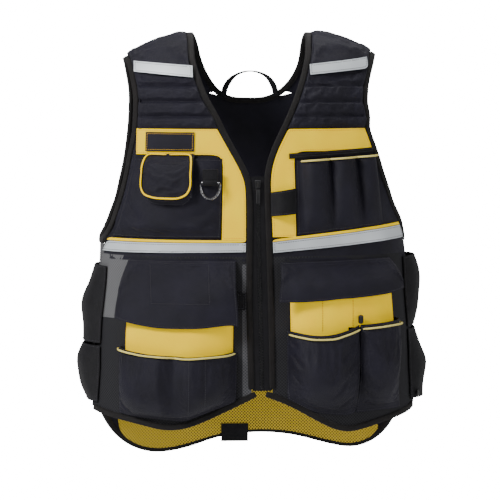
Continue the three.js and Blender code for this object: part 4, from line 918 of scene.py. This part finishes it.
def pad_back(node):
    """A search tree of the faces of a pad that lie on the wearer."""
    mesh = quads_of(node)
    outer = []
    for face in mesh.faces:
        middle = face.calc_center_median()
        way = Vector((0, middle.y, middle.z - PAD_CENTRE_LEVEL)).normalized()
        if face.normal.dot(way) > PAD_BACK_TURN:
            outer.append(face)
    bmesh.ops.delete(mesh, geom=outer, context="FACES")
    tree = BVHTree.FromBMesh(mesh)
    mesh.free()
    return tree


def reach_binding(obj):
    """Tucks the back of a pad under the neck binding, where its rounded edge would leave a slit."""
    mesh = quads_of("neck_binding")
    tree = BVHTree.FromBMesh(mesh)
    mesh.free()
    points = points_of(obj)
    found = [tree.find_nearest(Vector(point)) for point in points]
    gap = np.array([hit[3] for hit in found])
    way = (np.array([hit[0] for hit in found]) - points) / np.maximum(gap, 0.1 * MM)[:, None]
    share = (1 - smooth_step(gap, *BINDING_REACH)) * smooth_step(points[:, 1], *BINDING_BEHIND)
    set_points(obj, points + way * (BINDING_PULL * share)[:, None])


def make_pad(node):
    mesh = quads_of(node)
    layer = mesh.edges.layers.float.new("crease_edge")
    for edge in mesh.edges:
        turn = math.degrees(edge.calc_face_angle(0))
        if turn > RIM_ANGLE or (turn > GROOVE_ANGLE and not edge.is_convex):
            edge[layer] = PAD_CREASE
    made = new_object(f"{node}_cover", mesh)
    subdivide(made, PAD_LEVELS)
    tree = pad_back(node)
    found = [tree.find_nearest(Vector(point)) for point in points_of(made)]
    lift = np.array([hit[3] for hit in found])
    backs = np.array([hit[0] for hit in found])
    relax(made, 1 - smooth_step(lift, *PAD_GROOVE_LIFT), PAD_SPARE, pressure=PAD_PRESSURE)
    in_groove = smooth_step(lift, *PAD_EDGE_LIFT) * (1 - smooth_step(lift, *PAD_GROOVE_LIFT))
    way = (backs - points_of(made)) / np.maximum(lift, MM)[:, None]
    set_points(made, points_of(made) + way * (PAD_GROOVE_SINK * in_groove)[:, None])
    reach_binding(made)
    set_points(made, fold(points_of(made)))
    finish_piece(made, slots[node], [node], sharp=70)
    return made


pads = [make_pad(node) for node in ("right_shoulder_pad", "left_shoulder_pad")]
print("pads:", [len(pad.data.polygons) for pad in pads])

# %% [markdown]

# %% [markdown]
# ## Bindings, piping and the hanger loop
#
# These are tapes folded over an edge and round cords in a sleeve. The CAD sweeps them with a square
# section; subdivision rounds it, fully for piping and a little for the flat tapes. The bindings swell a
# little, to grip the edges between them.

# %%
PIPINGS = [
    "flap_piping", "tool_piping", "right_hip_piping", "left_hip_piping_front", "left_hip_piping_side",
]
TAPES = [
    "neck_binding", "right_armhole_binding", "left_armhole_binding", "right_front_hem_binding",
    "left_front_hem_binding", "back_hem_binding", "hanger_loop",
]
TAPE_SWELL = 0.9 * MM
TAPE_CREASE = 0.6
TRIM_EDGE_ANGLE = math.radians(40)


def make_trim(node, crease, swell=0):
    mesh = quads_of(node)
    layer = mesh.edges.layers.float.new("crease_edge")
    for edge in mesh.edges:
        edge[layer] = crease if edge.calc_face_angle(0) > TRIM_EDGE_ANGLE else 0
    made = new_object(f"{node}_trim", mesh)
    subdivide(made, 2)
    normals = np.array([vert.normal for vert in made.data.vertices])
    set_points(made, fold(points_of(made) + normals * swell))
    return finish_piece(made, slots[node], [node], sharp=70)


trims = [make_trim(node, 0) for node in PIPINGS]
trims += [make_trim(node, TAPE_CREASE, 0 if node == "hanger_loop" else TAPE_SWELL) for node in TAPES]
print("trims:", len(trims))

# %% [markdown]
# ## The steel ring and its keeper
#
# The ring is a bent steel wire, so its CAD shape is right and stays. A live subdivision rounds its wire.
# The keeper is a short webbing folded round the bar; it gets soft edges.

# %%
KEEPER_EDGE = 0.4 * MM
ring = nodes["d_ring"]
ring.data.materials.clear()
ring.data.materials.append(looks["steel"])
round_wire = ring.modifiers.new("round wire", "SUBSURF")
round_wire.levels = 2
round_wire.render_levels = 2
for face in ring.data.polygons:
    face.use_smooth = True

keeper = new_object("ring_keeper_webbing", quads_of("ring_keeper"))
soft_edge = keeper.modifiers.new("soft edge", "BEVEL")
soft_edge.width = KEEPER_EDGE
soft_edge.segments = 2
bake(keeper)
finish_piece(keeper, slots["ring_keeper"], ["ring_keeper"])
print("ring and keeper dressed")

# %% [markdown]
# ## The zip
#
# A moulded plastic zip: teeth on alternating sides, a slider on top and a pull that hangs from it. One
# tooth is modelled from a cube with bevelled edges, then set in a row down the line of the CAD teeth.

# %%
TOOTH = (4.4 * MM, 1.5 * MM, 2.3 * MM)
TOOTH_BEVEL = 0.35 * MM
TOOTH_PITCH = 2.1 * MM
TOOTH_SIDE = 0.5 * MM


def cube_piece(name, size, bevel, segments):
    bpy.ops.object.select_all(action="DESELECT")
    bpy.ops.mesh.primitive_cube_add(size=1)
    made = bpy.context.object
    made.name = name
    made.scale = size
    bpy.ops.object.transform_apply(location=False, rotation=False, scale=True)
    bpy.ops.object.mode_set(mode="EDIT")
    bpy.ops.mesh.select_all(action="SELECT")
    bpy.ops.mesh.bevel(offset=bevel, segments=segments, affect="EDGES")
    bpy.ops.object.mode_set(mode="OBJECT")
    return made


def select_nothing():
    """Leaves the active object in object mode with no face, edge or point selected."""
    bpy.ops.object.mode_set(mode="EDIT")
    bpy.ops.mesh.select_all(action="DESELECT")
    bpy.ops.object.mode_set(mode="OBJECT")


def rows_down(node):
    """The middle of each cross section of a strip, from its top down."""
    points = np.unique(np.round(points_of(nodes[node]), 6), axis=0)
    points = points[np.argsort(-points[:, 2])]
    return points[: len(points) // 4 * 4].reshape(-1, 4, 3).mean(axis=1)


def along_line(line, pitch):
    lengths = lengths_along(line)
    return read_at(np.arange(pitch / 2, lengths[-1] - pitch / 2, pitch), lengths, line)


def placed_copies(name, template, spots):
    """One mesh of a template set at each spot, given as its origin and its three axes."""
    source = points_of(template)
    faces = [tuple(face.vertices) for face in template.data.polygons]
    points = []
    polygons = []
    for origin, axes in spots:
        first = sum(len(block) for block in points)
        points.append(origin + source @ axes)
        polygons += [tuple(first + index for index in face) for face in faces]
    mesh = bpy.data.meshes.new(name)
    mesh.from_pydata(np.concatenate(points).tolist(), [], polygons)
    return new_object(name, mesh)


def frame_on_front(point):
    """Axes of a piece on the front of the vest: across, up and off the cloth."""
    off = outward(np.array([point]))[0]
    up = np.array([0.0, 0.0, 1.0])
    return np.array([np.cross(up, off), up, off])


tooth = cube_piece("tooth", TOOTH, TOOTH_BEVEL, 1)
zip_line = along_line(rows_down("zip_teeth"), TOOTH_PITCH)
tooth_spots = []
for index, point in enumerate(zip_line):
    axes = frame_on_front(point)
    tooth_spots.append((point + axes[0] * TOOTH_SIDE * (1 if index % 2 else -1), axes))
teeth = placed_copies("zip_teeth_row", tooth, tooth_spots)
set_points(teeth, fold(points_of(teeth)))
finish_piece(teeth, "black_plastic", ["zip_teeth"], sharp=30)
bpy.data.objects.remove(tooth)
print("teeth:", len(tooth_spots))

# %% [markdown]
# The slider has a body that is wider at its top than at its foot, and a bridge that the pull hangs from.
# The pull is a flat plate with a rounded outline and a sunk middle, made by an inset.

# %%
SLIDER = (8.6 * MM, 11.6 * MM, 2.8 * MM)
SLIDER_BEVEL = 0.8 * MM
SLIDER_TAPER = 0.22
BRIDGE = (2.4 * MM, 7 * MM, 2 * MM)
BRIDGE_HEIGHT = 2.2 * MM
BRIDGE_BEVEL = 0.6 * MM
PULL = (5.8 * MM, 21 * MM, 1.8 * MM)
PULL_BEVEL = 0.6 * MM
PULL_RIM = 0.8 * MM
PULL_SUNK = 0.5 * MM
PULL_FACE_LEAST = 20 * MM * MM


def middle_of(node):
    low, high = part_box(node)
    return (np.array(low) + np.array(high)) / 2


def set_on(obj, point, replaced):
    """Moves a piece modelled at the origin onto the front of the vest."""
    axes = frame_on_front(point)
    placed = points_of(obj) @ axes + point
    shift = fold(np.array([point]))[0] - point
    set_points(obj, placed + shift)
    return finish_piece(obj, "black_plastic", replaced, sharp=35)


slider = cube_piece("zip_slider_body", SLIDER, SLIDER_BEVEL, 3)
bpy.ops.object.mode_set(mode="EDIT")
bpy.ops.mesh.primitive_cube_add(size=1, location=(0, 0, BRIDGE_HEIGHT), scale=BRIDGE)
bpy.ops.mesh.bevel(offset=BRIDGE_BEVEL, segments=3, affect="EDGES")
bpy.ops.object.mode_set(mode="OBJECT")
slider_points = points_of(slider)
slider_points[:, 0] *= 1 - SLIDER_TAPER * smooth_step(-slider_points[:, 1], -2 * MM, 6 * MM)
set_points(slider, slider_points)
set_on(slider, middle_of("zip_slider"), ["zip_slider"])

pull = cube_piece("zip_pull_plate", PULL, PULL_BEVEL, 3)
select_nothing()
for face in pull.data.polygons:
    face.select = face.normal.z > 0.99 and face.area > PULL_FACE_LEAST
bpy.ops.object.mode_set(mode="EDIT")
bpy.ops.mesh.inset(thickness=PULL_RIM, depth=-PULL_SUNK)
bpy.ops.object.mode_set(mode="OBJECT")
set_on(pull, middle_of("zip_pull"), ["zip_pull"])
print("slider and pull:", len(slider.data.polygons), len(pull.data.polygons))

# %% [markdown]
# ## Toggle and stud
#
# A small round toggle hangs at the seam between the two left pouches, and a snap stud closes the lower
# left strap. Both are turned shapes, so they start as cylinders with their rims bevelled. The toggle gets
# a waist and is laid so that its length runs up the vest.

# %%
ROUND_SIDES = 28
TOGGLE_RADIUS = 3.3 * MM
TOGGLE_LENGTH = 13 * MM
TOGGLE_BEVEL = 2.4 * MM
TOGGLE_WAIST = 0.25
TOGGLE_WAIST_REACH = 1.6 * MM
STUD_RADIUS = 5 * MM
STUD_HEIGHT = 2.4 * MM
STUD_BEVEL = 1 * MM


def round_piece(name, radius, length, bevel):
    bpy.ops.object.select_all(action="DESELECT")
    bpy.ops.mesh.primitive_cylinder_add(vertices=ROUND_SIDES, radius=radius, depth=length)
    made = bpy.context.object
    made.name = name
    select_nothing()
    for edge in made.data.edges:
        first, second = (made.data.vertices[index].co for index in edge.vertices)
        edge.select = abs(first.z - second.z) < 1e-6
    bpy.ops.object.mode_set(mode="EDIT")
    bpy.ops.mesh.bevel(offset=bevel, segments=4, affect="EDGES")
    bpy.ops.object.mode_set(mode="OBJECT")
    return made


toggle = round_piece("toggle_body", TOGGLE_RADIUS, TOGGLE_LENGTH, TOGGLE_BEVEL)
toggle_points = points_of(toggle)
waist = 1 - TOGGLE_WAIST * np.exp(-((toggle_points[:, 2] / TOGGLE_WAIST_REACH) ** 2))
toggle_points[:, :2] *= waist[:, None]
set_points(toggle, toggle_points[:, [0, 2, 1]] * np.array([1, 1, -1]))
set_on(toggle, middle_of("toggle"), ["toggle"])

stud = round_piece("stud_cap", STUD_RADIUS, STUD_HEIGHT, STUD_BEVEL)
set_on(stud, middle_of("stud"), ["stud"])
print("toggle and stud done")

# %% [markdown]
# ## Sewing
#
# All the kept seam lines are now sewn. A stitch is a thin five-sided thread with a raised middle, so it
# catches light along its back and sinks at both ends. Where a seam turns back on itself a stitch would be
# too short, and is left out.

# %%
THREAD_SIDES = 5
THREAD_RISES = (-0.1 * MM, 0.3 * MM, -0.1 * MM)
THREAD_RADII = (0.7 * STITCH_RADIUS, STITCH_RADIUS, 0.7 * STITCH_RADIUS)
STITCH_LEAST = 0.4 * STITCH_PITCH


def sew(name, lines, material):
    points = []
    faces = []
    for line in lines:
        places = np.array([place for place, _ in line])
        facings = np.array([facing for _, facing in line])
        lengths = lengths_along(places)
        for start in np.arange(0, lengths[-1] - STITCH_PITCH, STITCH_PITCH):
            marks = start + np.array([0, 0.5, 1]) * STITCH_PITCH * STITCH_SHARE
            spine = read_at(marks, lengths, places)
            off = read_at(marks[1], lengths, facings)
            off /= max(np.linalg.norm(off), 1e-9)
            along = spine[2] - spine[0]
            length = np.linalg.norm(along)
            if length < STITCH_LEAST:
                continue
            side = np.cross(along / length, off)
            first = len(points)
            for centre, rise, radius in zip(spine, THREAD_RISES, THREAD_RADII):
                for corner in range(THREAD_SIDES):
                    angle = 2 * math.pi * corner / THREAD_SIDES
                    ring_way = side * math.cos(angle) + off * math.sin(angle)
                    points.append(centre + off * rise + ring_way * radius)
            for ring_index in range(2):
                for corner in range(THREAD_SIDES):
                    a = first + ring_index * THREAD_SIDES + corner
                    b = first + ring_index * THREAD_SIDES + (corner + 1) % THREAD_SIDES
                    faces.append((a, a + THREAD_SIDES, b + THREAD_SIDES, b))
            faces.append(tuple(range(first, first + THREAD_SIDES)))
            last = first + 2 * THREAD_SIDES
            faces.append(tuple(range(last + THREAD_SIDES - 1, last - 1, -1)))
    mesh = bpy.data.meshes.new(name)
    mesh.from_pydata([tuple(point) for point in points], [], faces)
    sewn = new_object(name, mesh)
    turned = opened(sewn)
    bmesh.ops.recalc_face_normals(turned, faces=turned.faces)
    turned.to_mesh(mesh)
    turned.free()
    finish_piece(sewn, material, sharp=80)
    return sewn


stitches = [
    sew("black_stitches", seams["black"], thread_black),
    sew("yellow_stitches", seams["yellow"], thread_yellow),
]
print("stitches:", [len(one.data.polygons) // (2 * THREAD_SIDES + 2) for one in stitches])

# %% [markdown]
# ## Studio
#
# The vest is shown as held up at its shoulders, in front of nothing: a pale floor far below, white
# surroundings, one large soft light from the front left, a weaker one from the right and one above. The
# room is far brighter to the camera than it is as a light, or the black cloth would lose its shading.

# %%
FLOOR_LEVEL = -1.35
FLOOR_SIZE = 14
ROOM_LIGHT = 0.3
SEEN_WHITE = 17.0
LIT_POINT = (0, 0, -0.3)
LIGHTS = [
    # name, place, size, power
    ("key", (-2.2, -1.7, 1.6), 0.9, 120),
    ("fill", (2.6, -1.4, 0.3), 1.2, 22),
    ("top", (0.2, 0.3, 2.2), 1.2, 40),
]


def area_light(name, place, size, power):
    light = bpy.data.lights.new(name, "AREA")
    light.size = size
    light.energy = power
    made = bpy.data.objects.new(name, light)
    made.location = place
    made.rotation_euler = (Vector(LIT_POINT) - Vector(place)).to_track_quat("-Z", "Y").to_euler()
    bpy.context.collection.objects.link(made)


for row in LIGHTS:
    area_light(*row)

bpy.ops.object.select_all(action="DESELECT")
bpy.ops.mesh.primitive_plane_add(size=FLOOR_SIZE, location=(0, 0, FLOOR_LEVEL))
floor = bpy.context.object
floor.name = "floor"
floor_look = plain_material("pale floor", (250, 250, 250), 0.9)
floor_shader = floor_look.node_tree.nodes["Principled BSDF"]
floor_shader.inputs["Emission Color"].default_value = (1, 1, 1, 1)
floor_seen = add_node(floor_look.node_tree, "ShaderNodeLightPath").outputs["Is Camera Ray"]
floor_glow = math_node(floor_look.node_tree, "MULTIPLY", floor_seen, SEEN_WHITE)
floor_look.node_tree.links.new(floor_glow, floor_shader.inputs["Emission Strength"])
floor.data.materials.append(floor_look)

world = bpy.data.worlds.new("white room")
bpy.context.scene.world = world
world.use_nodes = True
room = world.node_tree.nodes["Background"]
room.inputs["Color"].default_value = (1, 1, 1, 1)
room_seen = add_node(world.node_tree, "ShaderNodeLightPath").outputs["Is Camera Ray"]
extra_light = math_node(world.node_tree, "MULTIPLY", room_seen, SEEN_WHITE - ROOM_LIGHT)
room_light = math_node(world.node_tree, "ADD", extra_light, ROOM_LIGHT)
world.node_tree.links.new(room_light, room.inputs["Strength"])
print("lights:", len(LIGHTS))

# %% [markdown]
# ## Camera
#
# A long lens from 5 m away, turned 5 degrees to the wearer's right and 4 degrees above, which is how the
# photo sees the vest. The frame of 500 by 500 pixels is 750 mm wide at the vest.

# %%
CAMERA_TURN = math.radians(-5)
CAMERA_RISE = math.radians(4)
CAMERA_AWAY = 5.0
CAMERA_AIM = Vector((-0.00375, 0, -0.3075))
CAMERA_LENS = 240
CAMERA_SENSOR = 36
camera = bpy.data.cameras.new("camera")
camera.lens = CAMERA_LENS
camera.sensor_width = CAMERA_SENSOR
camera.dof.use_dof = False
camera_object = bpy.data.objects.new("camera", camera)
bpy.context.collection.objects.link(camera_object)
flat_away = CAMERA_AWAY * math.cos(CAMERA_RISE)
camera_object.location = CAMERA_AIM + Vector((
    math.sin(CAMERA_TURN) * flat_away,
    -math.cos(CAMERA_TURN) * flat_away,
    math.sin(CAMERA_RISE) * CAMERA_AWAY,
))
aim = CAMERA_AIM - camera_object.location
camera_object.rotation_euler = aim.to_track_quat("-Z", "Y").to_euler()
bpy.context.scene.camera = camera_object
